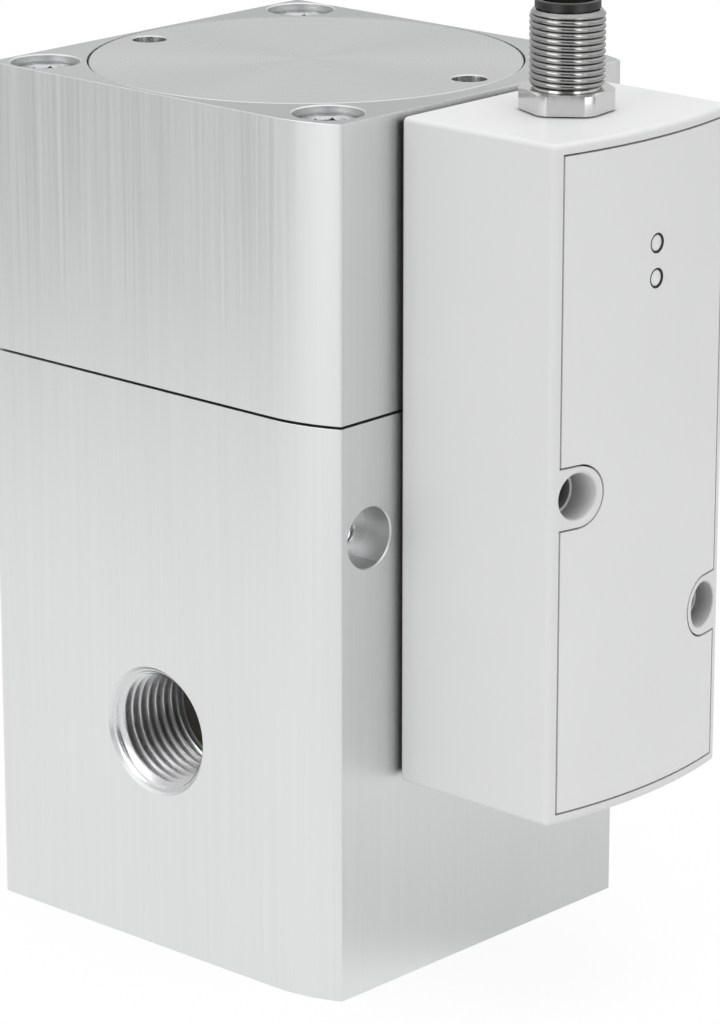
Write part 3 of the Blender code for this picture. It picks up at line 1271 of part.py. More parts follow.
def solenoid_valve(kind, ledge):
    """Yoke, coil, fixed core, plunger and spring, stacked on one ledge of the manifold."""
    centre = (SOLENOID_X, 0, 0)
    bottom = ledge + GAP
    coil_low = bottom + YOKE_PLATE + GAP
    coil_high = coil_low + COIL_HEIGHT
    top_plate = coil_high + GAP
    top = top_plate + YOKE_PLATE
    plunger_bore = CORE_RADIUS + GAP
    back = MANIFOLD_FRONT + GAP
    side = back + YOKE_PLATE
    front = SOLENOID_X + YOKE_REACH
    yoke_outline = [
        (back, bottom),
        (front, bottom),
        (front, bottom + YOKE_PLATE),
        (side, bottom + YOKE_PLATE),
        (side, top_plate),
        (front, top_plate),
        (front, top),
        (back, top),
    ]
    half = YOKE_HALF_WIDTH
    yoke = plate(f"{kind}_yoke", yoke_outline, -half, half, PLATED_STEEL, turn=FRONTWARDS)
    start, end = (SOLENOID_X, 0, bottom - GAP), (SOLENOID_X, 0, top + GAP)
    cut(yoke, cylinder(f"{kind}_yoke_bore_cutter", plunger_bore, start, end, facets=SMALL_FACETS))
    coil_outer = SOLENOID_X - side - GAP
    coil = [
        (coil_outer, coil_high),
        (coil_outer, coil_low),
        (plunger_bore, coil_low),
        (plunger_bore, coil_high),
    ]
    turned(f"{kind}_coil", coil, COPPER, SMALL_FACETS, at=centre)
    core_low = top - CORE_INSERTION
    head_low = top + GAP
    core = [
        (0, head_low + CORE_HEAD_HEIGHT),
        (CORE_HEAD_RADIUS, head_low + CORE_HEAD_HEIGHT),
        (CORE_HEAD_RADIUS, head_low),
        (CORE_RADIUS, head_low),
        (CORE_RADIUS, core_low),
        (0, core_low),
    ]
    turned(f"{kind}_core", core, PLATED_STEEL, SMALL_FACETS, at=centre)
    plunger_low = ledge + NOZZLE_HEIGHT + GAP
    plunger_high = core_low - PLUNGER_TRAVEL - GAP
    pocket = PLUNGER_SPRING_RADIUS + PLUNGER_SPRING_WIRE + GAP
    pocket_floor = plunger_high - PLUNGER_POCKET_DEPTH
    plunger = [
        (0, pocket_floor),
        (pocket, pocket_floor),
        (pocket, plunger_high),
        (CORE_RADIUS, plunger_high),
        (CORE_RADIUS, plunger_low),
        (0, plunger_low),
    ]
    turned(f"{kind}_plunger", plunger, PLATED_STEEL, SMALL_FACETS, at=centre)
    coil_spring(
        f"{kind}_plunger_spring",
        PLUNGER_SPRING_RADIUS,
        PLUNGER_SPRING_WIRE,
        pocket_floor + GAP,
        core_low - GAP,
        SOLENOID_X,
        PLUNGER_SPRING_TURNS,
        PLUNGER_SPRING_FACETS,
        PLUNGER_WIRE_FACETS,
    )


def connector():
    """An M12 plug with five pins, screwed into the housing's top wall."""
    centre = (CONNECTOR_X, 0, 0)
    thread = CONNECTOR_THREAD_RADIUS
    bore = CONNECTOR_BORE_RADIUS
    tail = HEX_LOW - CONNECTOR_TAIL_LENGTH
    undercut_top = HEX_TOP + UNDERCUT_HEIGHT
    profile = [
        (thread - CONNECTOR_THREAD_CHAMFER, SHELL_TOP),
        (thread, SHELL_TOP - CONNECTOR_THREAD_CHAMFER),
        (thread, undercut_top),
        (UNDERCUT_RADIUS, undercut_top),
        (UNDERCUT_RADIUS, HEX_TOP),
        (HEX_CORNER_RADIUS, HEX_TOP),
        (HEX_CORNER_RADIUS, HEX_LOW),
        (thread, HEX_LOW),
        (thread, tail),
        (bore, tail),
        (bore, SHELL_TOP),
    ]
    shell = turned("connector_shell", profile, PLATED_STEEL, MEDIUM_FACETS, at=centre)
    corner = HEX_WIDTH / math.sqrt(3)
    start, end = (CONNECTOR_X, 0, HEX_LOW - GAP), (CONNECTOR_X, 0, HEX_TOP + GAP)
    waste = cylinder("hexagon_waste", 2 * HEX_CORNER_RADIUS, start, end, facets=MEDIUM_FACETS)
    start = (CONNECTOR_X, 0, HEX_LOW - HOLE_SPARE)
    end = (CONNECTOR_X, 0, HEX_TOP + HOLE_SPARE)
    kept = cylinder("hexagon_kept", corner, start, end, facets=HEXAGON)
    kept.rotation_euler.z = HEX_TURN
    cut(waste, kept)
    cut(shell, waste)
    insert_body = bore - GAP
    flange_low = SHELL_TOP + GAP
    floor = INSERT_TOP - INSERT_CAVITY_DEPTH
    insert_low = HEX_LOW - INSERT_BOTTOM_LENGTH
    insert = [
        (0, floor),
        (INSERT_CAVITY_RADIUS, floor),
        (INSERT_CAVITY_RADIUS, INSERT_TOP),
        (INSERT_FLANGE_RADIUS, INSERT_TOP),
        (INSERT_FLANGE_RADIUS, flange_low),
        (insert_body, flange_low),
        (insert_body, insert_low),
        (0, insert_low),
    ]
    insert = turned("connector_insert", insert, BLACK_PLASTIC, HOLE_FACETS, at=centre)
    key_inner = CONNECTOR_X - INSERT_CAVITY_RADIUS
    key = box(
        "coding_key",
        (key_inner - GAP, -KEY_WIDTH / 2, floor - GAP),
        (key_inner + KEY_HEIGHT, KEY_WIDTH / 2, INSERT_TOP - 2 * GAP),
    )
    join(insert, key)
    tip = INSERT_TOP - PIN_TIP_SINK
    pin_end = insert_low - GAP
    places = [(CONNECTOR_X, 0)]
    for step in range(OUTER_PINS):
        angle = 2 * math.pi * (step + 0.5) / OUTER_PINS
        places.append((CONNECTOR_X + PIN_CIRCLE * math.cos(angle), PIN_CIRCLE * math.sin(angle)))
    for number, (x, y) in enumerate(places, 1):
        start, end = (x, y, pin_end), (x, y, floor + GAP)
        name = f"pin_hole_cutter_{number}"
        cut(insert, cylinder(name, PIN_RADIUS + GAP, start, end, facets=DRILLING_FACETS))
        pin = [
            (0, tip),
            (PIN_RADIUS / 2, tip),
            (PIN_RADIUS, tip - PIN_RADIUS),
            (PIN_RADIUS, floor - PIN_TAIL),
            (0, floor - PIN_TAIL),
        ]
        turned(f"connector_pin_{number}", pin, GOLD_PLATE, PIN_FACETS, at=(x, y, 0))
    under_wall = HOUSING_HIGH - HOUSING_WALL - GAP
    seal_low = under_wall - CONNECTOR_SEAL_THICKNESS
    seal = [
        (CONNECTOR_SEAL_RADIUS, under_wall),
        (CONNECTOR_SEAL_RADIUS, seal_low),
        (thread + GAP, seal_low),
        (thread + GAP, under_wall),
    ]
    turned("connector_seal", seal, RUBBER, HOLE_FACETS, at=centre)
    nut_top = seal_low - GAP
    nut_low = nut_top - NUT_HEIGHT
    hexagon_nut("connector_nut", NUT_WIDTH, thread + GAP, nut_low, nut_top, CONNECTOR_X)


def shade_all():
    for obj in PARTS.objects:
        if obj.type == "MESH":
            smoothing = obj.modifiers.new("Smooth by angle", "NODES")
            smoothing.node_group = SMOOTHING


lower_body()
upper_body()
body_screws()
top_cover()
bottom_plug()
main_valve()
piston_group()
block_seals()
electronics_housing()
front_cover()
housing_gasket()
housing_screws()
circuit_board()
light_guides()
pilot_manifold()
solenoid_valve("supply", SUPPLY_LEDGE)
solenoid_valve("vent", VENT_LEDGE)
connector()
shade_all()
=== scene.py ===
"""Looks of the electro pneumatic regulator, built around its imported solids. Lengths are in metres."""

import json
import math

import bmesh
import bpy
from mathutils import Matrix, Vector


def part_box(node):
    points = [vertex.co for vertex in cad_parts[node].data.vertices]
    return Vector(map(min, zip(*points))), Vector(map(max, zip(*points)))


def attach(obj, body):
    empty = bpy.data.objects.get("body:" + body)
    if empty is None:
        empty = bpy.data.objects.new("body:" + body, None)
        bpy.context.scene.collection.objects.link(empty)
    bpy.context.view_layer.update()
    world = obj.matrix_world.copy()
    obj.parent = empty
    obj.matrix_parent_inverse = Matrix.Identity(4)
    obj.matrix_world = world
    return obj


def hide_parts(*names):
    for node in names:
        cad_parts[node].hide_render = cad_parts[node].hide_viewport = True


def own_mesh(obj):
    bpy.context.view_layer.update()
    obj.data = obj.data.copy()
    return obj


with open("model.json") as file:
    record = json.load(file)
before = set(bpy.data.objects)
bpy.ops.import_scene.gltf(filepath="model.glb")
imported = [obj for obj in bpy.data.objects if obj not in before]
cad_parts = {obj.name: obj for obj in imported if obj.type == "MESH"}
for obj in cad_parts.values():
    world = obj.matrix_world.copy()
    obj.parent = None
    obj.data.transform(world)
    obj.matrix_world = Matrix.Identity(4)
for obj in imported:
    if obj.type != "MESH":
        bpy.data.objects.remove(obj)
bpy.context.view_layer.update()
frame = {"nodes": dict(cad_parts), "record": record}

# Camera, from the photograph's edges
CAMERA_PLACE = (0.4941, -0.5465, 0.2970)
CAMERA_YAW = math.radians(42.497)
CAMERA_PITCH = math.radians(17.022)
CAMERA_LENS = 162.97

# Fits and edges
GAP = 0.0003
GROOVE_WIDTH = 0.00035
SPARE = 0.003
BLOCK_EDGE = 0.00015
HOLE_EDGE = 0.0002
SCREW_EDGE = 0.0005
WELD = 0.0000005
THREAD_WELD = 0.0000001

# Valve block, as in the solids
SIDE_ARC_LENGTH = 0.0125
SIDE_ARC_DEPTH = 0.003
PORT_HEIGHT = 0.038
PORT_THREAD_RADIUS = 0.01055
PORT_BORE_RADIUS = 0.0093
PORT_CHAMFER = 0.0005
PORT_THREAD_DEPTH = 0.016
PORT_PITCH = 0.001814
PORT_THREAD_HEIGHT = 0.00118
PORT_PLAIN_SHARE = 0.4
PORT_SLEEVE = 0.00007
THREAD_PLAY = 0.00001
REAR_BORE_LENGTH = 0.0005
CHAMBER_RADIUS = 0.017
CHAMBER_OVERLAP = 0.005
SEAT_BORE = 0.0125
WEB_LOW = 0.049
WEB_TOP = 0.056
PLUG_BORE = 0.020
PLUG_TOP = 0.014
PASSAGE_Y = 0.029
PASSAGE_RADIUS = 0.005
PASSAGE_WINDOW_RISE = 0.013
PASSAGE_PLUG_BORE = 0.0063
PASSAGE_PLUG_DEPTH = 0.0066
SIDE_HOLE_Y = -0.0275
SIDE_HOLE_HEIGHT = 0.0776
SIDE_HOLE_RADIUS = 0.005
SIDE_HOLE_DEPTH = 0.0054
SIDE_THREAD_RADIUS = 0.0025
SIDE_THREAD_DEPTH = 0.006
SIDE_PITCH = 0.0008
SIDE_THREAD_HEIGHT = 0.0004
SIDE_SLEEVE = 0.00004
SEAL_GROOVE = (0.0185, 0.0215, 0.0027)
DRILLING_RADIUS = 0.0015
DRILLING_HEIGHTS = (0.045, 0.070)
SCREW_HOLE_RADIUS = 0.0033
SCREW_HOLE_SPARE = 0.003
COUNTERBORE_RADIUS = 0.00575
HEAD_RADIUS = 0.005
HEAD_HEIGHT = 0.006
SOCKET_WIDTH = 0.005
SOCKET_DEPTH = 0.003
CYLINDER_FLOOR = 0.107
CYLINDER_RADIUS = 0.028
BUSH_BORE = 0.008
COVER_SEAT = 0.1368
COVER_BOSS_LOW = 0.1303
COVER_RING_HEIGHT = 0.13355
COVER_RING_HALF = 0.0015
COVER_RECESS_RADIUS = 0.0095
COVER_RECESS_DEPTH = 0.0055
COVER_PIN_RADIUS = 0.0029
COVER_PIN_DEPTH = 0.006
COVER_PIN_CIRCLE = 0.031
COVER_PIN_ANGLE = math.radians(11)

# Electronics housing, as in the solids
HOUSING_ROUNDING = 0.0012
HOUSING_CROWN = 0.0026
HOUSING_RIM = 0.00165
HOUSING_WALL = 0.0033
HOUSING_BACK_WALL = 0.002
PANEL_THICKNESS = 0.0022
TAB_HALF_HEIGHT = 0.0049
TUNNEL_MOUTH_RADIUS = 0.0038
TUNNEL_THROAT_RADIUS = 0.0034
TUNNEL_THROAT_DEPTH = 0.0043
TUNNEL_RADIUS = 0.003
TUNNEL_FLOOR = 0.0037
TUNNEL_LIP = 0.0008
LIP_RISE = 0.00006
HOUSING_SCREW_HOLE = 0.0018
POST_RADIUS = 0.0025
LIGHT_RADIUS = 0.00135
RING_PLAY = 0.00002

# Plug connector, as in the solids
HEX_WIDTH = 0.014
HEX_CORNER_RADIUS = 0.0076
HEX_HEIGHT = 0.0034
HEX_EDGE = 0.0003
HEX_TURN = Matrix.Rotation(math.radians(38.5), 4, "Z")
UNDERCUT_RADIUS = 0.0053
UNDERCUT_HEIGHT = 0.001
CONNECTOR_RADIUS = 0.006
CONNECTOR_CORE = 0.00545
CONNECTOR_CORE_PLAY = 0.0001
CONNECTOR_SLEEVE = 0.00009
CONNECTOR_PITCH = 0.001
CONNECTOR_LEAD = 0.0006
UNDERCUT_SHARE = 0.8
CONNECTOR_BORE = 0.005
INSERT_FLANGE = 0.0013
INSERT_CAVITY_RADIUS = 0.0043
INSERT_CAVITY_DEPTH = 0.0096
INSERT_EDGE = 0.00015
KEY_HEIGHT = 0.0006
KEY_HALF_WIDTH = 0.0006
PIN_RADIUS = 0.0005
PINS = 5

# Springs, as in the solids
POPPET_WIRE = 0.0008
PLUNGER_WIRE = 0.00015

# Facets of round shapes
FINE = 128
ROUND = 64
SMALL = 40
ARC_STEPS = 24
ROWS_PER_TURN = 14
SPRING_STEPS = 36
WIRE_STEPS = 10
LIP_STEPS = 8
PIN_STEPS = 24
ROUND_CREST = 0.4
SHARP_CREST = 1.2

# Floor, light and the room that metal mirrors
WORLD_LIGHT = 0.70
FLOOR_GLOW = 0.9
# FLOOR_SHADE and the SHADE lines below set a painted shadow that the metal mirrors from the floor right of
# the block
FLOOR_SHADE = 0.27
FLOOR_RADIUS = 0.45
FLOOR_CLEAR = 0.15
SHADE_START = (0, 0.03)
SHADE_END = (0.08, 0.2)
SHADE_LEFT = 0.15
ROOM_FRONT = math.radians(-48)
# Pairs of degrees round the room and brightness there, level and below the horizon
ROOM = (
    (-180, 0.72),
    (-90, 0.84),
    (-62, 0.9),
    (-46, 1.05),
    (-26, 1.05),
    (-18, 0.2),
    (24, 0.2),
    (32, 1.1),
    (56, 1.1),
    (70, 1.0),
    (100, 1.1),
    (180, 0.72),
)
LOW_ROOM = (
    (-180, 0.4),
    (-58, 0.4),
    (-44, 1.8),
    (-27, 1.8),
    (-18, 0.09),
    (24, 0.09),
    (32, 1.8),
    (56, 1.8),
    (66, 0.4),
    (96, 0.6),
    (125, 0.4),
    (180, 0.4),
)
ROOM_TOP = 1.25
ROOM_LIMIT = 4
LOW_ROOM_HEIGHTS = (-0.15, -0.07)
TOP_HEIGHTS = (0.45, 0.9)

# Places of the solids
lower_low, lower_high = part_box("lower_body")
upper_low, upper_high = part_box("upper_body")
cover_low, cover_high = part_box("top_cover")
housing_low, housing_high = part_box("electronics_housing")
shell_low, shell_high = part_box("connector_shell")
insert_low, insert_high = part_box("connector_insert")
AXIS_X = (cover_low.x + cover_high.x) / 2
COVER_RADIUS = (cover_high.x - cover_low.x) / 2
BLOCK_FACE = lower_high.y
HOUSING_HALF_WIDTH = housing_high.y
CROWN_X = housing_high.x
CROWN_RADIUS = (HOUSING_HALF_WIDTH**2 + HOUSING_CROWN**2) / (2 * HOUSING_CROWN)
CONNECTOR_X = (shell_low.x + shell_high.x) / 2
HEX_LOW = housing_high.z + GAP
HEX_TOP = HEX_LOW + HEX_HEIGHT
UNDERCUT_TOP = HEX_TOP + UNDERCUT_HEIGHT
CAVITY_HALF_WIDTH = HOUSING_HALF_WIDTH - HOUSING_WALL
CAVITY_BACK = housing_low.x + HOUSING_BACK_WALL
PANEL_HALF_WIDTH = HOUSING_HALF_WIDTH - HOUSING_RIM - GROOVE_WIDTH
PANEL_LOW = housing_low.z + HOUSING_RIM + GROOVE_WIDTH
PANEL_HIGH = housing_high.z - HOUSING_RIM - GROOVE_WIDTH


def middle(node):
    low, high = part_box(node)
    return (low + high) / 2


SCREWS = [middle(f"body_screw_{number}").xy for number in (1, 2, 3, 4)]
SCREW_LOW, HEAD_TOP = [corner.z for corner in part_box("body_screw_1")]
HEAD_LOW = HEAD_TOP - HEAD_HEIGHT
TUNNELS = [middle(f"housing_screw_{number}").yz for number in (1, 2)]
POSTS = [middle(f"board_screw_{number}").yz for number in (1, 2)]
LIGHTS = [middle(node).yz for node in ("power_light", "error_light")]

TURN_UP = Matrix()
TURN_RIGHT = Matrix.Rotation(math.radians(90), 4, "Y")
TURN_FRONT = Matrix.Rotation(math.radians(90), 4, "X")
TURN_BACK = Matrix.Rotation(math.radians(-90), 4, "X")


def at(x, y, z, turn=TURN_UP):
    return Matrix.Translation((x, y, z)) @ turn


def to_object(name, shape, place=TURN_UP):
    bmesh.ops.recalc_face_normals(shape, faces=shape.faces)
    shape.transform(place)
    mesh = bpy.data.meshes.new(name)
    shape.to_mesh(mesh)
    shape.free()
    obj = bpy.data.objects.new(name, mesh)
    bpy.context.scene.collection.objects.link(obj)
    return obj


def lathe(name, profile, steps, place=TURN_UP):
    """A turned shape from (radius, height) points that run down the outer side.

    A profile that starts on the axis is capped, and any other is closed into a ring.
    """
    shape = bmesh.new()
    rings = []
    for radius, height in profile:
        if radius > 0:
            rings.append(new_ring(shape, radius, height, steps))
    pairs = list(zip(rings, rings[1:]))
    if profile[0][0] > 0:
        pairs.append((rings[-1], rings[0]))
    else:
        cap(shape, rings[0], profile[0][1], profile[1][1])
        cap(shape, rings[-1], profile[-1][1], profile[-2][1])
    bridge(shape, pairs)
    return to_object(name, shape, place)


def new_ring(shape, radius, height, steps):
    angles = [2 * math.pi * step / steps for step in range(steps)]
    return [shape.verts.new((radius * math.cos(a), radius * math.sin(a), height)) for a in angles]


def cap(shape, ring, tip_height, ring_height):
    """Closes a ring with one flat face, or with a cone where the axis point lies higher or lower."""
    if tip_height == ring_height:
        shape.faces.new(ring)
    else:
        bridge(shape, [(ring, [shape.verts.new((0, 0, tip_height))] * len(ring))])


def bridge(shape, pairs):
    for upper, lower in pairs:
        for step in range(len(upper)):
            following = (step + 1) % len(upper)
            corners = (upper[step], lower[step], lower[following], upper[following])
            corners = list(dict.fromkeys(corners))
            if len(corners) > 2:
                shape.faces.new(corners)


def prism(name, outline, low, high, place=TURN_UP):
    """An outline in the XY plane, extruded from low to high along Z."""
    shape = bmesh.new()
    bottom = [shape.verts.new((x, y, low)) for x, y in outline]
    top = [shape.verts.new((x, y, high)) for x, y in outline]
    shape.faces.new(bottom)
    shape.faces.new(top)
    bridge(shape, [(top, bottom)])
    return to_object(name, shape, place)


def side_prism(name, outline, low, high):
    """An outline of (y, z) points, extruded along X from low to high."""
    quarter = math.radians(90)
    turn = Matrix.Rotation(quarter, 4, "Z") @ Matrix.Rotation(quarter, 4, "X")
    return prism(name, outline, low, high, turn)


def rod(name, radius, start, end, steps=SMALL):
    start, end = Vector(start), Vector(end)
    turn = (end - start).to_track_quat("Z", "Y").to_matrix().to_4x4()
    length = (end - start).length
    profile = [(0, length), (radius, length), (radius, 0), (0, 0)]
    return lathe(name, profile, steps, Matrix.Translation(start) @ turn)


def block(name, low, high):
    outline = [(low[0], low[1]), (high[0], low[1]), (high[0], high[1]), (low[0], high[1])]
    return prism(name, outline, low[2], high[2])


def thread(name, root, crest, back, pitch, length, lead, steps, place, round_crests=False, plain=0):
    """A threaded sleeve that runs down from Z = 0 and whose other side is plain, at the back radius.

    Its grid follows the helix, is clipped at both ends, and rises from the root over the lead.
    The plain share of that rise lies above Z = 0 as a cone without grooves.
    """
    shape = bmesh.new()
    turns = math.ceil(length / pitch) + 1
    grid = []
    for row in range(turns * ROWS_PER_TURN + 1):
        lobe = abs(math.sin(math.pi * row / ROWS_PER_TURN))
        wave = lobe**ROUND_CREST if round_crests else (1 - lobe) ** SHARP_CREST
        line = []
        for step in range(steps + 1):
            depth = (row / ROWS_PER_TURN + step / steps - 1) * pitch
            depth = min(max(depth, 0), length)
            ease = min(1, plain + depth / lead, (length - depth) / lead)
            share = ease if depth == 0 else min(wave, ease)
            radius = root + (crest - root) * share
            angle = 2 * math.pi * (step % steps) / steps
            line.append(shape.verts.new((radius * math.cos(angle), radius * math.sin(angle), -depth)))
        grid.append(line)
    for upper, lower in zip(grid, grid[1:]):
        for step in range(steps):
            shape.faces.new((upper[step], lower[step], lower[step + 1], upper[step + 1]))
    top = plain * lead
    sides = [(root + (crest - root) * plain, 0), (root, top), (back, top), (back, -length), (root, -length)]
    rings = [new_ring(shape, radius, height, steps) for radius, height in sides]
    bridge(shape, list(zip(rings, rings[1:])))
    bmesh.ops.remove_doubles(shape, verts=shape.verts, dist=THREAD_WELD)
    bmesh.ops.dissolve_degenerate(shape, edges=shape.edges, dist=THREAD_WELD)
    return to_object(name, shape, place)


def carve(obj, tools, operation="DIFFERENCE"):
    """Cuts the object with the tools, or joins them to it, and removes the tools."""
    for tool in tools:
        modifier = obj.modifiers.new(tool.name, "BOOLEAN")
        modifier.operation = operation
        modifier.object = tool
        modifier.solver = "MANIFOLD"
    apply_modifiers(obj)
    for tool in tools:
        bpy.data.objects.remove(tool, do_unlink=True)


def apply_modifiers(obj):
    graph = bpy.context.evaluated_depsgraph_get()
    mesh = bpy.data.meshes.new_from_object(obj.evaluated_get(graph))
    obj.modifiers.clear()
    obj.data = mesh


def bevel(obj, width, segments, degrees=40):
    modifier = obj.modifiers.new("Bevel", "BEVEL")
    modifier.width = width
    modifier.segments = segments
    modifier.limit_method = "ANGLE"
    modifier.angle_limit = math.radians(degrees)
    apply_modifiers(obj)


def dress(obj, material, body, nodes, degrees=32, weighted=False):
    shape = bmesh.new()
    shape.from_mesh(obj.data)
    bmesh.ops.remove_doubles(shape, verts=shape.verts, dist=WELD)
    for face in shape.faces:
        face.smooth = True
        face.material_index = 0
    for edge in shape.edges:
        edge.smooth = edge.calc_face_angle(0) < math.radians(degrees)
    shape.to_mesh(obj.data)
    shape.free()
    obj.data.materials.clear()
    obj.data.materials.append(material)
    if weighted:
        modifier = obj.modifiers.new("Weighted normals", "WEIGHTED_NORMAL")
        modifier.keep_sharp = True
    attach(obj, body)
    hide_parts(*nodes)


def crown_at(y):
    return CROWN_X - CROWN_RADIUS + math.sqrt(CROWN_RADIUS**2 - y**2)


# Materials
def join(tree, operation, first, second=None, third=None):
    """One maths node. Each input is a number or another node's output."""
    node = tree.nodes.new("ShaderNodeMath")
    node.operation = operation
    for socket, value in zip(node.inputs, (first, second, third)):
        if isinstance(value, bpy.types.NodeSocket):
            tree.links.new(value, socket)
        elif value is not None:
            socket.default_value = value
    return node.outputs[0]


def ramp(tree, factor, start, end, low, high):
    """Eases from low to high while the factor goes from start to end."""
    node = tree.nodes.new("ShaderNodeMapRange")
    node.interpolation_type = "SMOOTHSTEP"
    for socket, value in zip(("From Min", "From Max", "To Min", "To Max"), (start, end, low, high)):
        node.inputs[socket].default_value = value
    tree.links.new(factor, node.inputs["Value"])
    return node.outputs["Result"]


class Surface:
    """A principled material with helpers for the nodes that vary it over the surface."""

    def __init__(self, name, colour, roughness, metallic=0.0):
        self.material = bpy.data.materials.new(name)
        self.material.use_nodes = True
        self.tree = self.material.node_tree
        self.shader = self.tree.nodes["Principled BSDF"]
        self.colour = colour
        self.roughness = roughness
        self.set("Base Color", (*colour, 1.0))
        self.set("Roughness", roughness)
        self.set("Metallic", metallic)
        self.coordinates = self.tree.nodes.new("ShaderNodeTexCoord").outputs["Object"]
        self.normal = None

    def set(self, socket, value):
        self.shader.inputs[socket].default_value = value

    def link(self, output, target):
        self.tree.links.new(output, target)

    def noise(self, stretch, detail=3.0):
        """Noise whose grains are 1 / stretch metres wide along each axis."""
        mapping = self.tree.nodes.new("ShaderNodeMapping")
        mapping.inputs["Scale"].default_value = stretch
        self.link(self.coordinates, mapping.inputs["Vector"])
        texture = self.tree.nodes.new("ShaderNodeTexNoise")
        texture.inputs["Scale"].default_value = 1.0
        texture.inputs["Detail"].default_value = detail
        self.link(mapping.outputs["Vector"], texture.inputs["Vector"])
        return texture.outputs["Fac"]

    def rings(self, centre_x, pitch, detail=3.0):
        """Noise that changes only with the distance from a vertical axis."""
        split = self.tree.nodes.new("ShaderNodeSeparateXYZ")
        self.link(self.coordinates, split.inputs["Vector"])
        across = self.maths("SUBTRACT", split.outputs["X"], centre_x)
        square = self.maths("ADD", self.squared(across), self.squared(split.outputs["Y"]))
        radius = self.maths("SQRT", square)
        texture = self.tree.nodes.new("ShaderNodeTexNoise")
        texture.noise_dimensions = "1D"
        texture.inputs["Scale"].default_value = 1 / pitch
        texture.inputs["Detail"].default_value = detail
        self.link(radius, texture.inputs["W"])
        return texture.outputs["Fac"]

    def squared(self, value):
        return self.maths("MULTIPLY", value, value)

    def maths(self, operation, first, second=None):
        return join(self.tree, operation, first, second)

    def span(self, factor, low, high, start=0.3, end=0.7):
        node = self.tree.nodes.new("ShaderNodeMapRange")
        node.inputs["From Min"].default_value = start
        node.inputs["From Max"].default_value = end
        node.inputs["To Min"].default_value = low
        node.inputs["To Max"].default_value = high
        self.link(factor, node.inputs["Value"])
        return node.outputs["Result"]

    def vary_colour(self, factor, low, high):
        """Scales the colour between two shares along the factor."""
        self.mix_colour(self.span(factor, 0.0, 1.0), self.scaled(high), self.scaled(low))

    def scaled(self, share):
        return (*[value * share for value in self.colour], 1.0)

    def mix_colour(self, factor, upper, lower=None):
        """Mixes towards the upper colour, from the lower one or from the colour so far."""
        node = self.tree.nodes.new("ShaderNodeMix")
        node.data_type = "RGBA"
        factor_socket, lower_socket, upper_socket = (node.inputs[index] for index in (0, 6, 7))
        self.link(factor, factor_socket)
        upper_socket.default_value = upper
        base = self.shader.inputs["Base Color"]
        if lower is None:
            self.link(base.links[0].from_socket, lower_socket)
        else:
            lower_socket.default_value = lower
        self.link(node.outputs[2], base)

    def paint_top_shade(self, share):
        """Paints shade on faces that look straight up, by scaling their colour down."""
        split = self.tree.nodes.new("ShaderNodeSeparateXYZ")
        self.link(self.tree.nodes.new("ShaderNodeNewGeometry").outputs["Normal"], split.inputs["Vector"])
        self.mix_colour(self.maths("GREATER_THAN", split.outputs["Z"], 0.9), self.scaled(share))

    def paint_well_shade(self, centres, radius, mouth, step):
        """Paints shade down holes along X, darker with their depth, apart from the face of the step in them.
        """
        split = self.tree.nodes.new("ShaderNodeSeparateXYZ")
        self.link(self.coordinates, split.inputs["Vector"])
        inside = 0.0
        for y, z in centres:
            across = self.maths("SUBTRACT", split.outputs["Y"], y)
            up = self.maths("SUBTRACT", split.outputs["Z"], z)
            square = self.maths("ADD", self.squared(across), self.squared(up))
            inside = self.maths("ADD", self.maths("LESS_THAN", square, radius**2), inside)
        off_step = self.maths("ABSOLUTE", self.maths("SUBTRACT", split.outputs["X"], step))
        off_step = self.maths("GREATER_THAN", off_step, 0.00008)
        depth = self.span(split.outputs["X"], 0.95, 0.0, 1.6 * step - 0.6 * mouth, mouth)
        shade = self.maths("MULTIPLY", self.maths("MULTIPLY", inside, off_step), depth)
        self.mix_colour(shade, (0.01, 0.01, 0.01, 1.0))

    def vary_roughness(self, factor, spread):
        low, high = self.roughness - spread, self.roughness + spread
        self.link(self.span(factor, low, high), self.shader.inputs["Roughness"])

    def bump(self, factor, height, strength=1.0):
        node = self.tree.nodes.new("ShaderNodeBump")
        node.inputs["Strength"].default_value = strength
        node.inputs["Distance"].default_value = height
        self.link(factor, node.inputs["Height"])
        if self.normal is not None:
            self.link(self.normal, node.inputs["Normal"])
        self.normal = node.outputs["Normal"]
        self.link(self.normal, self.shader.inputs["Normal"])

    def brush(self, amount, turn):
        """Stretches highlights round the vertical axis, or away from it after a quarter turn."""
        tangent = self.tree.nodes.new("ShaderNodeTangent")
        tangent.direction_type = "RADIAL"
        tangent.axis = "Z"
        self.set("Anisotropic", amount)
        self.set("Anisotropic Rotation", turn)
        self.link(tangent.outputs["Tangent"], self.shader.inputs["Tangent"])


def milled_aluminium(name, tone):
    surface = Surface(name, (0.74 * tone, 0.75 * tone, 0.75 * tone), 0.42, 1.0)
    streaks = surface.noise((1500, 1500, 18), 4.0)
    clouds = surface.noise((40, 40, 25), 2.0)
    grain = surface.maths("MULTIPLY", streaks, 0.7)
    drift = surface.maths("MULTIPLY", clouds, 0.3)
    surface.vary_colour(surface.maths("ADD", grain, drift), 0.965, 1.02)
    # Painted shade on the faces that look straight up, at 0.74 of the colour
    surface.paint_top_shade(0.74)
    surface.vary_roughness(streaks, 0.04)
    surface.bump(streaks, 0.000004, 0.5)
    surface.brush(0.5, 0.0)
    return surface.material


def turned_aluminium():
    surface = Surface("turned_aluminium", (0.68, 0.69, 0.69), 0.26, 1.0)
    fine = surface.rings(AXIS_X, 0.00025, 4.0)
    surface.vary_colour(fine, 0.96, 1.03)
    surface.vary_roughness(fine, 0.03)
    surface.bump(fine, 0.000003, 0.35)
    surface.brush(0.8, 0.25)
    return surface.material


def machined(name, colour, roughness, grain=2500, spread=0.06, height=0.000002):
    """Plain machined or plated metal with fine tool marks."""
    surface = Surface(name, colour, roughness, 1.0)
    marks = surface.noise((grain, grain, grain), 3.0)
    surface.vary_colour(marks, 0.94, 1.04)
    surface.vary_roughness(marks, spread)
    surface.bump(marks, height, 0.3)
    return surface.material


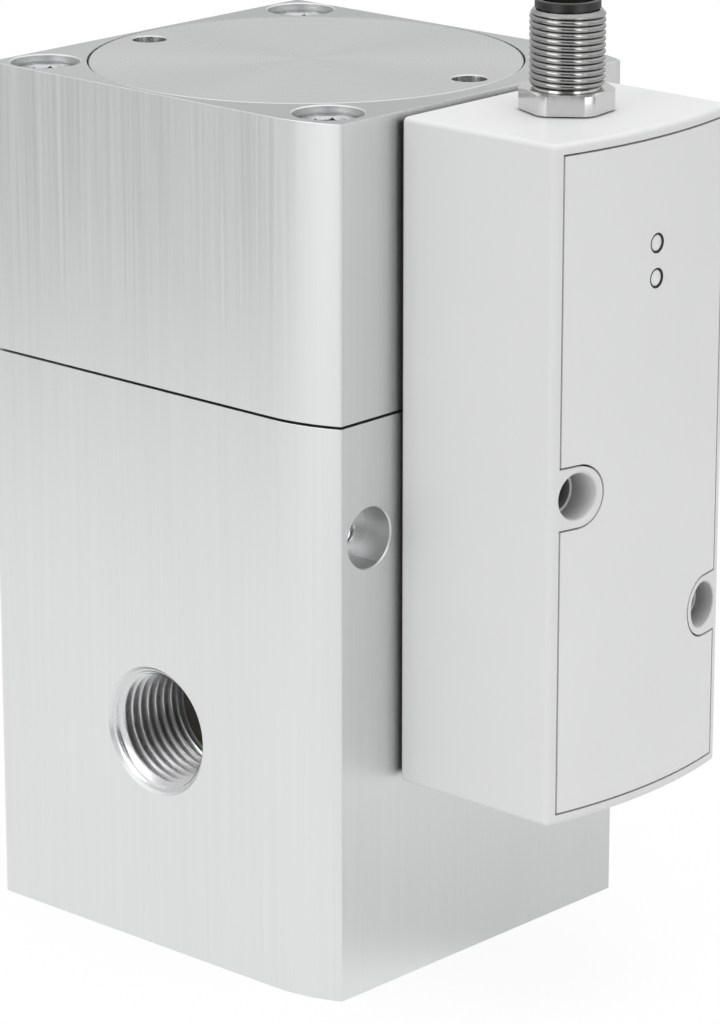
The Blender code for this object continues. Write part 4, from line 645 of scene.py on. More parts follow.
def moulded(name, colour, roughness, grain=3000, height=0.00001, shares=(0.985, 1.01)):
    """Moulded plastic or rubber with a fine eroded texture."""
    surface = Surface(name, colour, roughness)
    grains = surface.noise((grain, grain, grain), 2.0)
    clouds = surface.noise((30, 30, 30), 2.0)
    surface.vary_colour(clouds, *shares)
    surface.vary_roughness(grains, 0.05)
    surface.bump(grains, height, 0.4)
    return surface


def housing_plastic():
    """The housing's plastic, darker down the screw tunnels, which little light reaches."""
    surface = moulded("light_grey_housing", (0.63, 0.635, 0.635), 0.48)
    mouth = crown_at(TUNNELS[0].x)
    surface.paint_well_shade(TUNNELS, TUNNEL_MOUTH_RADIUS, mouth, mouth - TUNNEL_THROAT_DEPTH)
    return surface.material


def copper_winding():
    surface = Surface("copper_winding", (0.52, 0.2, 0.09), 0.35, 1.0)
    wave = surface.tree.nodes.new("ShaderNodeTexWave")
    wave.bands_direction = "Z"
    wave.inputs["Scale"].default_value = 900
    surface.link(surface.coordinates, wave.inputs["Vector"])
    surface.vary_colour(wave.outputs["Fac"], 0.6, 1.1)
    surface.bump(wave.outputs["Fac"], 0.00005, 0.8)
    return surface.material


def board_laminate():
    surface = Surface("board_laminate", (0.015, 0.12, 0.05), 0.35)
    weave = surface.noise((1200, 1200, 1200), 2.0)
    surface.vary_colour(weave, 0.8, 1.15)
    surface.bump(weave, 0.000006, 0.3)
    surface.set("Coat Weight", 0.4)
    return surface.material


def clear_guide():
    surface = Surface("clear_guide", (0.70, 0.71, 0.71), 0.22)
    haze = surface.noise((400, 400, 400), 2.0)
    surface.vary_colour(haze, 0.96, 1.02)
    surface.bump(haze, 0.000005, 0.2)
    surface.set("Coat Weight", 0.6)
    surface.set("Coat Roughness", 0.08)
    return surface.material


LOWER_METAL = milled_aluminium("milled_aluminium_lower", 1.01)
UPPER_METAL = milled_aluminium("milled_aluminium_upper", 1.02)
TURNED_METAL = turned_aluminium()
BORE_METAL = machined("bored_aluminium", (0.66, 0.665, 0.67), 0.24, 3000, 0.03, 0.0000003)
STEEL = machined("plated_steel", (0.55, 0.555, 0.56), 0.22)
SPRING = machined("spring_steel", (0.36, 0.37, 0.38), 0.3)
BRASS = machined("brass", (0.66, 0.47, 0.19), 0.3)
GOLD = machined("plated_contact", (0.80, 0.60, 0.26), 0.22)
NICKEL = machined("nickel_plated_brass", (0.67, 0.67, 0.66), 0.16)
# The shell's nickel at half its colour: painted shade in the connector thread's grooves
SHADED_THREAD_NICKEL = machined("nickel_thread_painted_shade", (0.34, 0.34, 0.335), 0.12)
COPPER = copper_winding()
RUBBER = moulded("black_rubber", (0.018, 0.018, 0.018), 0.7, 1500).material
HOUSING_GREY = housing_plastic()
PANEL_GREY = moulded("light_grey_panel", (0.655, 0.66, 0.66), 0.5).material
BLACK = moulded("black_plastic", (0.012, 0.012, 0.012), 0.35).material
MANIFOLD = moulded("dark_grey_manifold", (0.09, 0.09, 0.1), 0.5).material
BOARD = board_laminate()
GUIDE = clear_guide()

MATERIAL_OF_SLOT = {
    "block_aluminium": LOWER_METAL,
    "turned_aluminium": TURNED_METAL,
    "plated_steel": STEEL,
    "spring_steel": SPRING,
    "brass": BRASS,
    "contact_plate": GOLD,
    "copper_winding": COPPER,
    "black_rubber": RUBBER,
    "housing_grey": HOUSING_GREY,
    "panel_grey": PANEL_GREY,
    "black_plastic": BLACK,
    "manifold_plastic": MANIFOLD,
    "circuit_board": BOARD,
    "light_guide": GUIDE,
    "connector_metal": NICKEL,
}


def paint_solids():
    """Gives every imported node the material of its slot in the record."""
    for entry in frame["record"]["subparts"]:
        obj = frame["nodes"][entry["node"]]
        obj.data.materials.clear()
        obj.data.materials.append(MATERIAL_OF_SLOT[entry["material_slot"]])


# Valve block
def block_outline(low, high):
    """The block seen from above: flat faces, with the front and back rounded away at the right."""
    radius = (SIDE_ARC_LENGTH**2 + SIDE_ARC_DEPTH**2) / (2 * SIDE_ARC_DEPTH)
    end = math.asin(SIDE_ARC_LENGTH / radius)
    start = high.x - SIDE_ARC_LENGTH
    arc = []
    for step in range(ARC_STEPS + 1):
        angle = end * step / ARC_STEPS
        arc.append((start + radius * math.sin(angle), high.y - radius * (1 - math.cos(angle))))
    front = [(x, -y) for x, y in arc]
    return [(low.x, -high.y)] + front + arc[::-1] + [(low.x, high.y)]


def mouth_profile(radius, face, edge=HOLE_EDGE):
    """The first points of a hole's profile: its chamfered mouth in a face, up to the hole's own radius."""
    wide = radius + edge
    return [(0, face + SPARE), (wide, face + SPARE), (wide, face), (radius, face - edge)]


def port_cutter(name, inner_end, turn):
    profile = mouth_profile(PORT_THREAD_RADIUS, BLOCK_FACE, PORT_CHAMFER) + [
        (PORT_THREAD_RADIUS, BLOCK_FACE - PORT_THREAD_DEPTH),
        (PORT_BORE_RADIUS, BLOCK_FACE - PORT_THREAD_DEPTH),
        (PORT_BORE_RADIUS, inner_end),
        (0, inner_end),
    ]
    return lathe(name, profile, FINE, at(AXIS_X, 0, PORT_HEIGHT, turn))


def lower_block():
    body = prism("block_lower", block_outline(lower_low, lower_high), 0, lower_high.z)
    bevel(body, BLOCK_EDGE, 2)
    top = lower_high.z + SPARE
    bore = [
        (0, top),
        (CHAMBER_RADIUS, top),
        (CHAMBER_RADIUS, WEB_TOP),
        (SEAT_BORE, WEB_TOP),
        (SEAT_BORE, WEB_LOW),
        (CHAMBER_RADIUS, WEB_LOW),
        (CHAMBER_RADIUS, PLUG_TOP),
        (PLUG_BORE, PLUG_TOP),
        (PLUG_BORE, PORT_CHAMFER),
        (PLUG_BORE + PORT_CHAMFER, 0),
        (PLUG_BORE + PORT_CHAMFER, -SPARE),
        (0, -SPARE),
    ]
    seal_inner, seal_outer, seal_depth = SEAL_GROOVE
    seal_floor = lower_high.z - seal_depth
    seal = [(seal_outer, top), (seal_outer, seal_floor), (seal_inner, seal_floor), (seal_inner, top)]
    plug_floor = lower_high.z - PASSAGE_PLUG_DEPTH
    right = lower_high.x
    step = right - SIDE_HOLE_DEPTH
    hole = mouth_profile(SIDE_HOLE_RADIUS, right) + [
        (SIDE_HOLE_RADIUS, step),
        (SIDE_THREAD_RADIUS, step),
        (SIDE_THREAD_RADIUS, step - SIDE_THREAD_DEPTH),
        (0, step - SIDE_THREAD_DEPTH),
    ]
    window = WEB_TOP + PASSAGE_WINDOW_RISE
    tools = [
        lathe("valve_bore", bore, FINE, at(AXIS_X, 0, 0)),
        lathe("seal_groove", seal, ROUND, at(AXIS_X, 0, 0)),
        port_cutter("front_port", CHAMBER_RADIUS - CHAMBER_OVERLAP, TURN_FRONT),
        port_cutter("rear_port", BLOCK_FACE - PORT_THREAD_DEPTH - REAR_BORE_LENGTH, TURN_BACK),
        rod("passage", PASSAGE_RADIUS, (AXIS_X, PASSAGE_Y, PORT_HEIGHT), (AXIS_X, PASSAGE_Y, top)),
        rod("passage_seat", PASSAGE_PLUG_BORE, (AXIS_X, PASSAGE_Y, plug_floor), (AXIS_X, PASSAGE_Y, top)),
        rod(
            "passage_window",
            PASSAGE_RADIUS,
            (AXIS_X, CHAMBER_RADIUS - CHAMBER_OVERLAP, window),
            (AXIS_X, PASSAGE_Y, window),
        ),
        lathe("side_hole", hole, ROUND, at(0, SIDE_HOLE_Y, SIDE_HOLE_HEIGHT, TURN_RIGHT)),
    ]
    inside = AXIS_X + CHAMBER_RADIUS - SPARE
    for height in DRILLING_HEIGHTS:
        tools.append(rod("drilling", DRILLING_RADIUS, (inside, 0, height), (right + SPARE, 0, height)))
    for x, y in SCREWS:
        tools.append(rod("screw_hole", SCREW_HOLE_RADIUS, (x, y, SCREW_LOW - SCREW_HOLE_SPARE), (x, y, top)))
    for number, (y, z) in enumerate(TUNNELS, 1):
        start = (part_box(f"housing_screw_{number}")[0].x - HOLE_EDGE, y, z)
        tools.append(rod("housing_hole", HOUSING_SCREW_HOLE, start, (right + SPARE, y, z)))
    carve(body, tools)
    dress(body, LOWER_METAL, "block", ["lower_body"], weighted=True)


def upper_block():
    body = prism("block_upper", block_outline(upper_low, upper_high), upper_low.z, upper_high.z)
    bevel(body, BLOCK_EDGE, 2)
    top = upper_high.z + SPARE
    under = upper_low.z - SPARE
    bore = [
        (0, top),
        (COVER_RADIUS + GAP, top),
        (COVER_RADIUS + GAP, COVER_SEAT - GAP),
        (CYLINDER_RADIUS, COVER_SEAT - GAP),
        (CYLINDER_RADIUS, CYLINDER_FLOOR),
        (BUSH_BORE, CYLINDER_FLOOR),
        (BUSH_BORE, under),
        (0, under),
    ]
    tools = [lathe("cylinder_bore", bore, 2 * FINE, at(AXIS_X, 0, 0))]
    for x, y in SCREWS:
        hole = mouth_profile(COUNTERBORE_RADIUS, upper_high.z) + [
            (COUNTERBORE_RADIUS, HEAD_LOW - GAP),
            (SCREW_HOLE_RADIUS, HEAD_LOW - GAP),
            (SCREW_HOLE_RADIUS, under),
            (0, under),
        ]
        tools.append(lathe("counterbore", hole, ROUND, at(x, y, 0)))
    carve(body, tools)
    dress(body, UPPER_METAL, "block", ["upper_body"], weighted=True)


def cover_disc():
    edge = HOLE_EDGE
    boss = CYLINDER_RADIUS - GAP
    seat = boss - 2 * COVER_RING_HALF + GAP
    recess_top = COVER_BOSS_LOW + COVER_RECESS_DEPTH
    profile = [
        (0, cover_high.z),
        (COVER_RADIUS - edge, cover_high.z),
        (COVER_RADIUS, cover_high.z - edge),
        (COVER_RADIUS, COVER_SEAT),
        (boss, COVER_SEAT),
        (boss, COVER_RING_HEIGHT + COVER_RING_HALF),
        (seat, COVER_RING_HEIGHT + COVER_RING_HALF),
        (seat, COVER_RING_HEIGHT - COVER_RING_HALF),
        (boss, COVER_RING_HEIGHT - COVER_RING_HALF),
        (boss, COVER_BOSS_LOW),
        (COVER_RECESS_RADIUS, COVER_BOSS_LOW),
        (COVER_RECESS_RADIUS, recess_top),
        (0, recess_top),
    ]
    disc = lathe("cover_disc", profile, 2 * FINE, at(AXIS_X, 0, 0))
    tools = []
    for angle in (COVER_PIN_ANGLE, COVER_PIN_ANGLE + math.pi):
        x = AXIS_X + COVER_PIN_CIRCLE * math.cos(angle)
        y = COVER_PIN_CIRCLE * math.sin(angle)
        floor = cover_high.z - COVER_PIN_DEPTH
        hole = mouth_profile(COVER_PIN_RADIUS, cover_high.z)
        hole += [(COVER_PIN_RADIUS, floor), (0, floor - edge)]
        tools.append(lathe("pin_hole", hole, ROUND, at(x, y, 0)))
    carve(disc, tools)
    dress(disc, TURNED_METAL, "block", ["top_cover"])


def body_screws():
    for number, (x, y) in enumerate(SCREWS, 1):
        node = f"body_screw_{number}"
        low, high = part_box(node)
        shank = SCREW_HOLE_RADIUS - GAP
        edge = SCREW_EDGE
        profile = [
            (0, HEAD_TOP),
            (HEAD_RADIUS - edge, HEAD_TOP),
            (HEAD_RADIUS - edge / 3, HEAD_TOP - edge / 3),
            (HEAD_RADIUS, HEAD_TOP - edge),
            (HEAD_RADIUS, HEAD_LOW),
            (shank, HEAD_LOW),
            (shank, low.z + edge),
            (shank - edge, low.z),
            (0, low.z),
        ]
        screw = lathe(f"cap_{node}", profile, ROUND, at(x, y, 0))
        corner = SOCKET_WIDTH / math.sqrt(3)
        floor = HEAD_TOP - SOCKET_DEPTH
        socket = [(0, HEAD_TOP + SPARE), (corner, HEAD_TOP + SPARE), (corner, floor), (0, floor - 2 * edge)]
        mouth = [
            (0, HEAD_TOP + edge),
            (corner + edge, HEAD_TOP + edge),
            (corner - edge / 2, HEAD_TOP - edge),
            (0, HEAD_TOP - edge),
        ]
        carve(screw, [lathe("socket", socket, 6, at(x, y, 0)), lathe("mouth", mouth, ROUND, at(x, y, 0))])
        dress(screw, STEEL, "block", [node])


def port_threads():
    """Threaded sleeves in the ports and the side hole, which the plain solids leave out."""
    lead = PORT_THREAD_HEIGHT
    start = BLOCK_FACE - PORT_CHAMFER - PORT_PLAIN_SHARE * lead
    length = start - (BLOCK_FACE - PORT_THREAD_DEPTH)
    root = PORT_THREAD_RADIUS - PORT_SLEEVE
    back = PORT_THREAD_RADIUS - THREAD_PLAY
    for name, turn, y in (("front", TURN_FRONT, -start), ("rear", TURN_BACK, start)):
        sleeve = thread(
            f"thread_{name}_port",
            root,
            root - lead,
            back,
            PORT_PITCH,
            length,
            lead,
            FINE,
            at(AXIS_X, y, PORT_HEIGHT, turn),
            plain=PORT_PLAIN_SHARE,
        )
        dress(sleeve, BORE_METAL, "block", [], 60)
    step = lower_high.x - SIDE_HOLE_DEPTH
    place = at(step, SIDE_HOLE_Y, SIDE_HOLE_HEIGHT, TURN_RIGHT)
    sleeve = thread(
        "thread_side_hole",
        SIDE_THREAD_RADIUS - SIDE_SLEEVE,
        SIDE_THREAD_RADIUS - SIDE_THREAD_HEIGHT,
        SIDE_THREAD_RADIUS - THREAD_PLAY,
        SIDE_PITCH,
        SIDE_THREAD_DEPTH,
        SIDE_THREAD_HEIGHT,
        SMALL,
        place,
    )
    dress(sleeve, BORE_METAL, "block", [], 60)


# Electronics housing
def crown_points(half_width, offset):
    steps = 2 * ARC_STEPS
    places = [half_width * (2 * step / steps - 1) for step in range(steps + 1)]
    return [(crown_at(y) + offset, y) for y in places]


def crowned_slab(name, half_width, back_offset, front_offset, low, high):
    front = crown_points(half_width, front_offset)
    back = crown_points(half_width, back_offset)
    return prism(name, front + back[::-1], low, high)


def tab_outline(y, z, margin):
    """The tongue round a screw tunnel, in (y, z): a half round that runs on past the housing's side."""
    side = math.copysign(1, y)
    radius = TAB_HALF_HEIGHT + margin
    steps = ARC_STEPS
    angles = [math.pi * step / steps - math.pi / 2 for step in range(steps + 1)]
    round_end = [(y - side * radius * math.cos(a), z + radius * math.sin(a)) for a in angles]
    edge = side * (HOUSING_HALF_WIDTH + GAP)
    return [(edge, z - radius)] + round_end + [(edge, z + radius)]


def tunnel_tools(y, z):
    """The screw tunnel's bore and, square to the crown, the rounded lip at its mouth."""
    mouth = crown_at(y)
    floor = housing_low.x + TUNNEL_FLOOR
    under = housing_low.x - SPARE
    slope = (TUNNEL_MOUTH_RADIUS - TUNNEL_THROAT_RADIUS) / TUNNEL_THROAT_DEPTH
    bore = [
        (0, mouth + SPARE),
        (TUNNEL_MOUTH_RADIUS + slope * SPARE, mouth + SPARE),
        (TUNNEL_THROAT_RADIUS, mouth - TUNNEL_THROAT_DEPTH),
        (TUNNEL_RADIUS, mouth - TUNNEL_THROAT_DEPTH),
        (TUNNEL_RADIUS, floor),
        (HOUSING_SCREW_HOLE, floor),
        (HOUSING_SCREW_HOLE, under),
        (0, under),
    ]
    outer = TUNNEL_MOUTH_RADIUS - slope * TUNNEL_LIP + TUNNEL_LIP
    lip = [(0, SPARE), (outer, SPARE)]
    for step in range(LIP_STEPS + 1):
        angle = math.radians(90) * step / LIP_STEPS
        drop = TUNNEL_LIP * (1 - math.cos(angle)) - LIP_RISE
        lip.append((outer - TUNNEL_LIP * math.sin(angle), -drop))
    lip.append((0, LIP_RISE - TUNNEL_LIP))
    lean = Matrix.Rotation(math.asin(y / CROWN_RADIUS), 4, "Z")
    return [
        lathe("tunnel", bore, ROUND, at(0, y, z, TURN_RIGHT)),
        lathe("tunnel_lip", lip, ROUND, at(mouth, y, z, lean @ TURN_RIGHT)),
    ]


def tunnel_columns():
    """What the housing keeps round the screw tunnels, as tools for one cut."""
    end = CROWN_X + 2 * SPARE
    return [side_prism("column", tab_outline(y, z, 0), housing_low.x, end) for y, z in TUNNELS]


def housing_shell():
    outline = [(housing_low.x, HOUSING_HALF_WIDTH), (housing_low.x, -HOUSING_HALF_WIDTH)]
    outline += crown_points(HOUSING_HALF_WIDTH, 0)
    shell = prism("housing_shell", outline, housing_low.z, housing_high.z)
    bevel(shell, HOUSING_ROUNDING, 5)
    rebate = crowned_slab(
        "panel_rebate",
        PANEL_HALF_WIDTH + GROOVE_WIDTH,
        -PANEL_THICKNESS - GAP,
        SPARE,
        PANEL_LOW - GROOVE_WIDTH,
        PANEL_HIGH + GROOVE_WIDTH,
    )
    cavity_low = (CAVITY_BACK, -CAVITY_HALF_WIDTH, housing_low.z + HOUSING_WALL)
    cavity_high = (CROWN_X + SPARE, CAVITY_HALF_WIDTH, housing_high.z - HOUSING_WALL)
    cavity = block("cavity", cavity_low, cavity_high)
    carve(rebate, tunnel_columns())
    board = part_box("circuit_board")[0].x
    posts = [rod("post", POST_RADIUS, (housing_low.x, y, z), (board - GAP, y, z)) for y, z in POSTS]
    carve(cavity, tunnel_columns() + posts)
    tools = [rebate, cavity]
    for y, z in TUNNELS:
        tools += tunnel_tools(y, z)
    tools.append(
        rod(
            "connector_hole",
            CONNECTOR_RADIUS + GAP,
            (CONNECTOR_X, 0, housing_high.z - HOUSING_WALL - GAP),
            (CONNECTOR_X, 0, housing_high.z + SPARE),
            ROUND,
        )
    )
    carve(shell, tools)
    dress(shell, HOUSING_GREY, "block", ["electronics_housing"], weighted=True)


def front_panel():
    panel = crowned_slab("front_panel", PANEL_HALF_WIDTH, -PANEL_THICKNESS, 0, PANEL_LOW, PANEL_HIGH)
    tools = []
    start = CROWN_X - 2 * SPARE
    end = CROWN_X + SPARE
    for y, z in TUNNELS:
        tools.append(side_prism("tab", tab_outline(y, z, GROOVE_WIDTH), start, end))
    for y, z in LIGHTS:
        tools.append(rod("light_hole", LIGHT_RADIUS + GAP, (start, y, z), (end, y, z), ROUND))
    carve(panel, tools)
    dress(panel, PANEL_GREY, "block", ["front_cover"], weighted=True)


def light_guides():
    for name, (y, z) in zip(("power_light", "error_light"), LIGHTS):
        low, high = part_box(name)
        flange = (high.y - low.y) / 2
        front = high.x
        edge = HOLE_EDGE / 2
        profile = [
            (0, front),
            (LIGHT_RADIUS - 2 * edge, front - edge / 4),
            (LIGHT_RADIUS - edge / 2, front - edge),
            (LIGHT_RADIUS, front - 3 * edge),
            (LIGHT_RADIUS, front - PANEL_THICKNESS - GAP),
            (flange, front - PANEL_THICKNESS - GAP),
            (flange, front - PANEL_THICKNESS - 4 * GAP),
            (LIGHT_RADIUS, front - PANEL_THICKNESS - 4 * GAP),
            (LIGHT_RADIUS, low.x),
            (0, low.x),
        ]
        guide = lathe(f"guide_{name}", profile, ROUND, at(0, y, z, TURN_RIGHT))
        dress(guide, GUIDE, "block", [name], 50)
        inner = LIGHT_RADIUS + RING_PLAY
        outer = LIGHT_RADIUS + GAP - RING_PLAY
        back = front - PANEL_THICKNESS
        face = crown_at(y) - RING_PLAY
        ring = [(outer, face), (outer, back), (inner, back), (inner, face)]
        ring = lathe(f"ring_{name}", ring, ROUND, at(0, y, z, TURN_RIGHT))
        dress(ring, BLACK, "block", [])


# Plug connector
def connector_shell():
    top = shell_high.z
    edge = HEX_EDGE
    core = CONNECTOR_CORE - CONNECTOR_CORE_PLAY
    profile = [
        (core - CONNECTOR_CORE_PLAY, top),
        (core, top - CONNECTOR_CORE_PLAY),
        (core, UNDERCUT_TOP),
        (UNDERCUT_RADIUS, UNDERCUT_TOP),
        (UNDERCUT_RADIUS, HEX_TOP),
        (HEX_WIDTH / 2 - edge / 3, HEX_TOP),
        (HEX_CORNER_RADIUS, HEX_TOP - edge),
        (HEX_CORNER_RADIUS, HEX_LOW),
        (CONNECTOR_RADIUS, HEX_LOW),
        (CONNECTOR_RADIUS, shell_low.z),
        (CONNECTOR_BORE, shell_low.z),
        (CONNECTOR_BORE, top),
    ]
    shell = lathe("plug_shell", profile, FINE, at(CONNECTOR_X, 0, 0))
    waste_start, waste_end = (CONNECTOR_X, 0, HEX_LOW - GAP), (CONNECTOR_X, 0, HEX_TOP + GAP)
    waste = rod("waste", 2 * HEX_CORNER_RADIUS, waste_start, waste_end)
    corner = HEX_WIDTH / math.sqrt(3)
    low, high = HEX_LOW - SPARE, HEX_TOP + SPARE
    kept = [(0, high), (corner, high), (corner, low), (0, low)]
    carve(waste, [lathe("hexagon", kept, 6, at(CONNECTOR_X, 0, 0, HEX_TURN))])
    carve(shell, [waste])
    dress(shell, NICKEL, "block", ["connector_shell"], 20)
    sleeve = thread(
        "plug_thread",
        CONNECTOR_CORE,
        CONNECTOR_RADIUS,
        CONNECTOR_CORE - CONNECTOR_SLEEVE,
        CONNECTOR_PITCH,
        top - UNDERCUT_TOP + UNDERCUT_SHARE * UNDERCUT_HEIGHT,
        CONNECTOR_LEAD,
        FINE,
        at(CONNECTOR_X, 0, top),
        round_crests=True,
    )
    # The thread takes the darker copy of the nickel, which paints shade into it
    dress(sleeve, SHADED_THREAD_NICKEL, "block", [], 70)


def connector_insert():
    top = insert_high.z
    floor = top - INSERT_CAVITY_DEPTH
    outer = (insert_high.x - insert_low.x) / 2
    body = CONNECTOR_BORE - GAP
    edge = INSERT_EDGE
    profile = [
        (0, floor),
        (INSERT_CAVITY_RADIUS, floor),
        (INSERT_CAVITY_RADIUS, top - edge),
        (INSERT_CAVITY_RADIUS + edge, top),
        (outer - edge, top),
        (outer, top - edge),
        (outer, top - INSERT_FLANGE),
        (body, top - INSERT_FLANGE),
        (body, insert_low.z),
        (0, insert_low.z),
    ]
    insert = lathe("plug_insert", profile, FINE, at(CONNECTOR_X, 0, 0))
    key_x = CONNECTOR_X - INSERT_CAVITY_RADIUS
    key_low = (key_x - GAP, -KEY_HALF_WIDTH, floor - GAP)
    key_high = (key_x + KEY_HEIGHT, KEY_HALF_WIDTH, top - 2 * GAP)
    carve(insert, [block("key", key_low, key_high)], "UNION")
    tools = []
    for number in range(1, PINS + 1):
        low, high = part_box(f"connector_pin_{number}")
        x, y = (low.x + high.x) / 2, (low.y + high.y) / 2
        start, end = (x, y, insert_low.z - GAP), (x, y, floor + GAP)
        tools.append(rod("pin_hole", PIN_RADIUS + GAP / 3, start, end, PIN_STEPS))
    carve(insert, tools)
    dress(insert, BLACK, "block", ["connector_insert"])
    for number in range(1, PINS + 1):
        node = f"connector_pin_{number}"
        low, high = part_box(node)
        x, y = (low.x + high.x) / 2, (low.y + high.y) / 2
        tip = PIN_RADIUS
        profile = [
            (0, high.z),
            (tip * 0.45, high.z - tip * 0.1),
            (tip * 0.8, high.z - tip * 0.45),
            (tip, high.z - tip * 1.2),
            (tip, low.z),
            (0, low.z),
        ]
        pin = lathe(f"plug_pin_{number}", profile, PIN_STEPS, at(x, y, 0))
        dress(pin, GOLD, "block", [node], 50)


# Springs, which move with their bodies
def coil_spring(node, body, wire, turns):
    """A round wire wound with closed ends, which moves whole with the body."""
    low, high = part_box(node)
    middle_x, middle_y = (low.x + high.x) / 2, (low.y + high.y) / 2
    radius = (high.x - low.x) / 2 - wire
    rise = high.z - low.z - 2 * wire
    closed = 2.1 * wire
    shape = bmesh.new()
    rings = []
    for step in range(turns * SPRING_STEPS + 1):
        turn = step / SPRING_STEPS
        ends = min(turn, 1) + max(turn - turns + 1, 0)
        height = closed * ends + (rise - 2 * closed) * (turn - ends) / (turns - 2)
        angle = 2 * math.pi * turn
        ring = []
        for side in range(WIRE_STEPS):
            tilt = 2 * math.pi * side / WIRE_STEPS
            reach = radius + wire * math.cos(tilt)
            up = low.z + wire + height + wire * math.sin(tilt)
            ring.append(shape.verts.new((reach * math.cos(angle), reach * math.sin(angle), up)))
        rings.append(ring)
    shape.faces.new(rings[0])
    shape.faces.new(rings[-1])
    bridge(shape, list(zip(rings, rings[1:])))
    coil = to_object(f"coil_{node}", shape, at(middle_x, middle_y, 0))
    dress(coil, SPRING, body, [node], 50)
    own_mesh(coil)


def springs():
    coil_spring("poppet_spring", "poppet", POPPET_WIRE, 6)
    for kind in ("supply", "vent"):
        node = f"{kind}_plunger_spring"
        coil_spring(node, f"{kind}_armature", PLUNGER_WIRE, 7)


# Camera, floor and light
def add_camera():
    data = bpy.data.cameras.new("camera")
    camera = bpy.data.objects.new("camera", data)
    bpy.context.scene.collection.objects.link(camera)
    camera.location = CAMERA_PLACE
    camera.rotation_euler = (math.radians(90) - CAMERA_PITCH, 0, CAMERA_YAW)
    data.lens = CAMERA_LENS
    data.sensor_width = 36
    data.clip_start = 0.01
    data.clip_end = 50
    bpy.context.scene.camera = camera


def add_floor():
    """A round floor that is white towards its edge, where it meets the white surroundings."""
    shape = bmesh.new()
    shape.faces.new(new_ring(shape, FLOOR_RADIUS, 0, FINE))
    floor = to_object("floor", shape)
    material = bpy.data.materials.new("pale_floor")
    material.use_nodes = True
    tree = material.node_tree
    shader = tree.nodes["Principled BSDF"]
    shader.inputs["Base Color"].default_value = (0.86, 0.86, 0.86, 1)
    shader.inputs["Roughness"].default_value = 0.9
    shader.inputs["Specular IOR Level"].default_value = 0.1
    glow = tree.nodes.new("ShaderNodeEmission")
    place = tree.nodes.new("ShaderNodeTexCoord").outputs["Object"]
    distance = tree.nodes.new("ShaderNodeVectorMath")
    distance.operation = "LENGTH"
    tree.links.new(place, distance.inputs[0])
    share = ramp(tree, distance.outputs["Value"], FLOOR_CLEAR, 0.9 * FLOOR_RADIUS, FLOOR_GLOW, 1)
    path = tree.nodes.new("ShaderNodeLightPath").outputs
    seen = join(tree, "MAXIMUM", path["Is Camera Ray"], path["Is Glossy Ray"])
    seen = join(tree, "MAXIMUM", seen, path["Is Transmission Ray"])
    mix = tree.nodes.new("ShaderNodeMixShader")
    tree.links.new(join(tree, "MULTIPLY", seen, share), mix.inputs["Fac"])
    tree.links.new(shader.outputs[0], mix.inputs[1])
    tree.links.new(glow.outputs[0], mix.inputs[2])
    # Painted shadow on the floor right of the block, which only reflections in the metal show
    split = tree.nodes.new("ShaderNodeSeparateXYZ")
    tree.links.new(place, split.inputs["Vector"])
    far_right = join(tree, "ADD", split.outputs["X"], split.outputs["Y"])
    shade = ramp(tree, far_right, *SHADE_START, 0, FLOOR_SHADE)
    shade = join(tree, "MULTIPLY", shade, ramp(tree, far_right, *SHADE_END, 1, SHADE_LEFT))
    shade = join(tree, "MULTIPLY", shade, path["Is Glossy Ray"])
    tree.links.new(join(tree, "SUBTRACT", 1, shade), glow.inputs["Strength"])
    tree.links.new(mix.outputs[0], tree.nodes["Material Output"].inputs["Surface"])
    floor.data.materials.append(material)


def room_levels(tree, turn, levels):
    """The brightness round the room, from pairs of degrees and level."""
    room = tree.nodes.new("ShaderNodeValToRGB")
    tree.links.new(turn, room.inputs["Fac"])
    room.color_ramp.interpolation = "EASE"
    stops = room.color_ramp.elements
    while len(stops) < len(levels):
        stops.new(0.5)
    for stop, (degrees, level) in zip(stops, levels):
        stop.position = (degrees + 180) / 360
        share = level / ROOM_LIMIT
        stop.color = (share, share, share, 1)
    return join(tree, "MULTIPLY", room.outputs["Color"], ROOM_LIMIT)


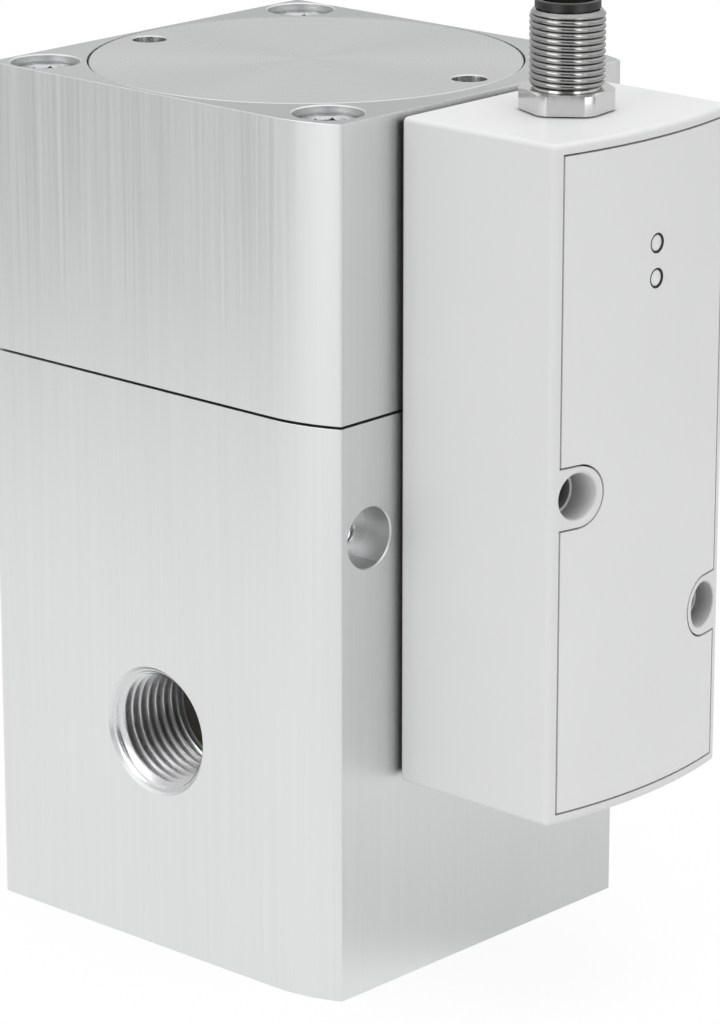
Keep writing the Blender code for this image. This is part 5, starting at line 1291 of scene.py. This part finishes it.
def add_world():
    """White surroundings. Metal mirrors a room with two softboxes beside the viewer instead."""
    world = bpy.data.worlds.new("studio")
    bpy.context.scene.world = world
    world.use_nodes = True
    tree = world.node_tree
    split = tree.nodes.new("ShaderNodeSeparateXYZ")
    tree.links.new(tree.nodes.new("ShaderNodeTexCoord").outputs["Generated"], split.inputs["Vector"])
    turn = join(tree, "ARCTAN2", split.outputs["Y"], split.outputs["X"])
    turn = join(tree, "ADD", turn, math.pi - ROOM_FRONT)
    turn = join(tree, "FRACT", join(tree, "DIVIDE", turn, 2 * math.pi))
    high = room_levels(tree, turn, ROOM)
    low = room_levels(tree, turn, LOW_ROOM)
    above = ramp(tree, split.outputs["Z"], *LOW_ROOM_HEIGHTS, 0, 1)
    sides = join(tree, "MULTIPLY_ADD", above, join(tree, "SUBTRACT", high, low), low)
    overhead = ramp(tree, split.outputs["Z"], *TOP_HEIGHTS, 0, 1)
    difference = join(tree, "SUBTRACT", ROOM_TOP, sides)
    mirrored = join(tree, "MULTIPLY_ADD", overhead, difference, sides)
    path = tree.nodes.new("ShaderNodeLightPath").outputs
    white = join(tree, "MAXIMUM", path["Is Camera Ray"], path["Is Transmission Ray"])
    glossy = join(tree, "MULTIPLY", path["Is Glossy Ray"], mirrored)
    strength = join(tree, "MAXIMUM", glossy, white)
    soft = join(tree, "MULTIPLY", join(tree, "LESS_THAN", strength, 0.001), WORLD_LIGHT)
    background = tree.nodes["Background"]
    background.inputs["Color"].default_value = (1, 1, 1, 1)
    tree.links.new(join(tree, "ADD", strength, soft), background.inputs["Strength"])


def add_lamp(name, place, size, energy, target=(0, 0, 0.08)):
    data = bpy.data.lights.new(name, "AREA")
    data.shape = "RECTANGLE"
    data.size, data.size_y = size
    data.energy = energy
    lamp = bpy.data.objects.new(name, data)
    bpy.context.scene.collection.objects.link(lamp)
    lamp.location = place
    aim = Vector(target) - Vector(place)
    lamp.rotation_euler = aim.to_track_quat("-Z", "Y").to_euler()
    return lamp


add_camera()
paint_solids()
lower_block()
upper_block()
cover_disc()
body_screws()
port_threads()
housing_shell()
front_panel()
light_guides()
connector_shell()
connector_insert()
springs()
add_floor()
add_world()
add_lamp("left_softbox", (-0.15, -1.5, 0.7), (0.9, 1.1), 6)
add_lamp("right_softbox", (1.3, -0.35, 0.6), (0.5, 1.0), 3)
top_softbox = add_lamp("top_softbox", (0.1, 0.1, 1.5), (1.2, 1.2), 12.5)
# The metal tops mirror the room instead of this lamp, in which they would clip to white from above
top_softbox.visible_glossy = False
bpy.context.scene.view_settings.view_transform = "Standard"
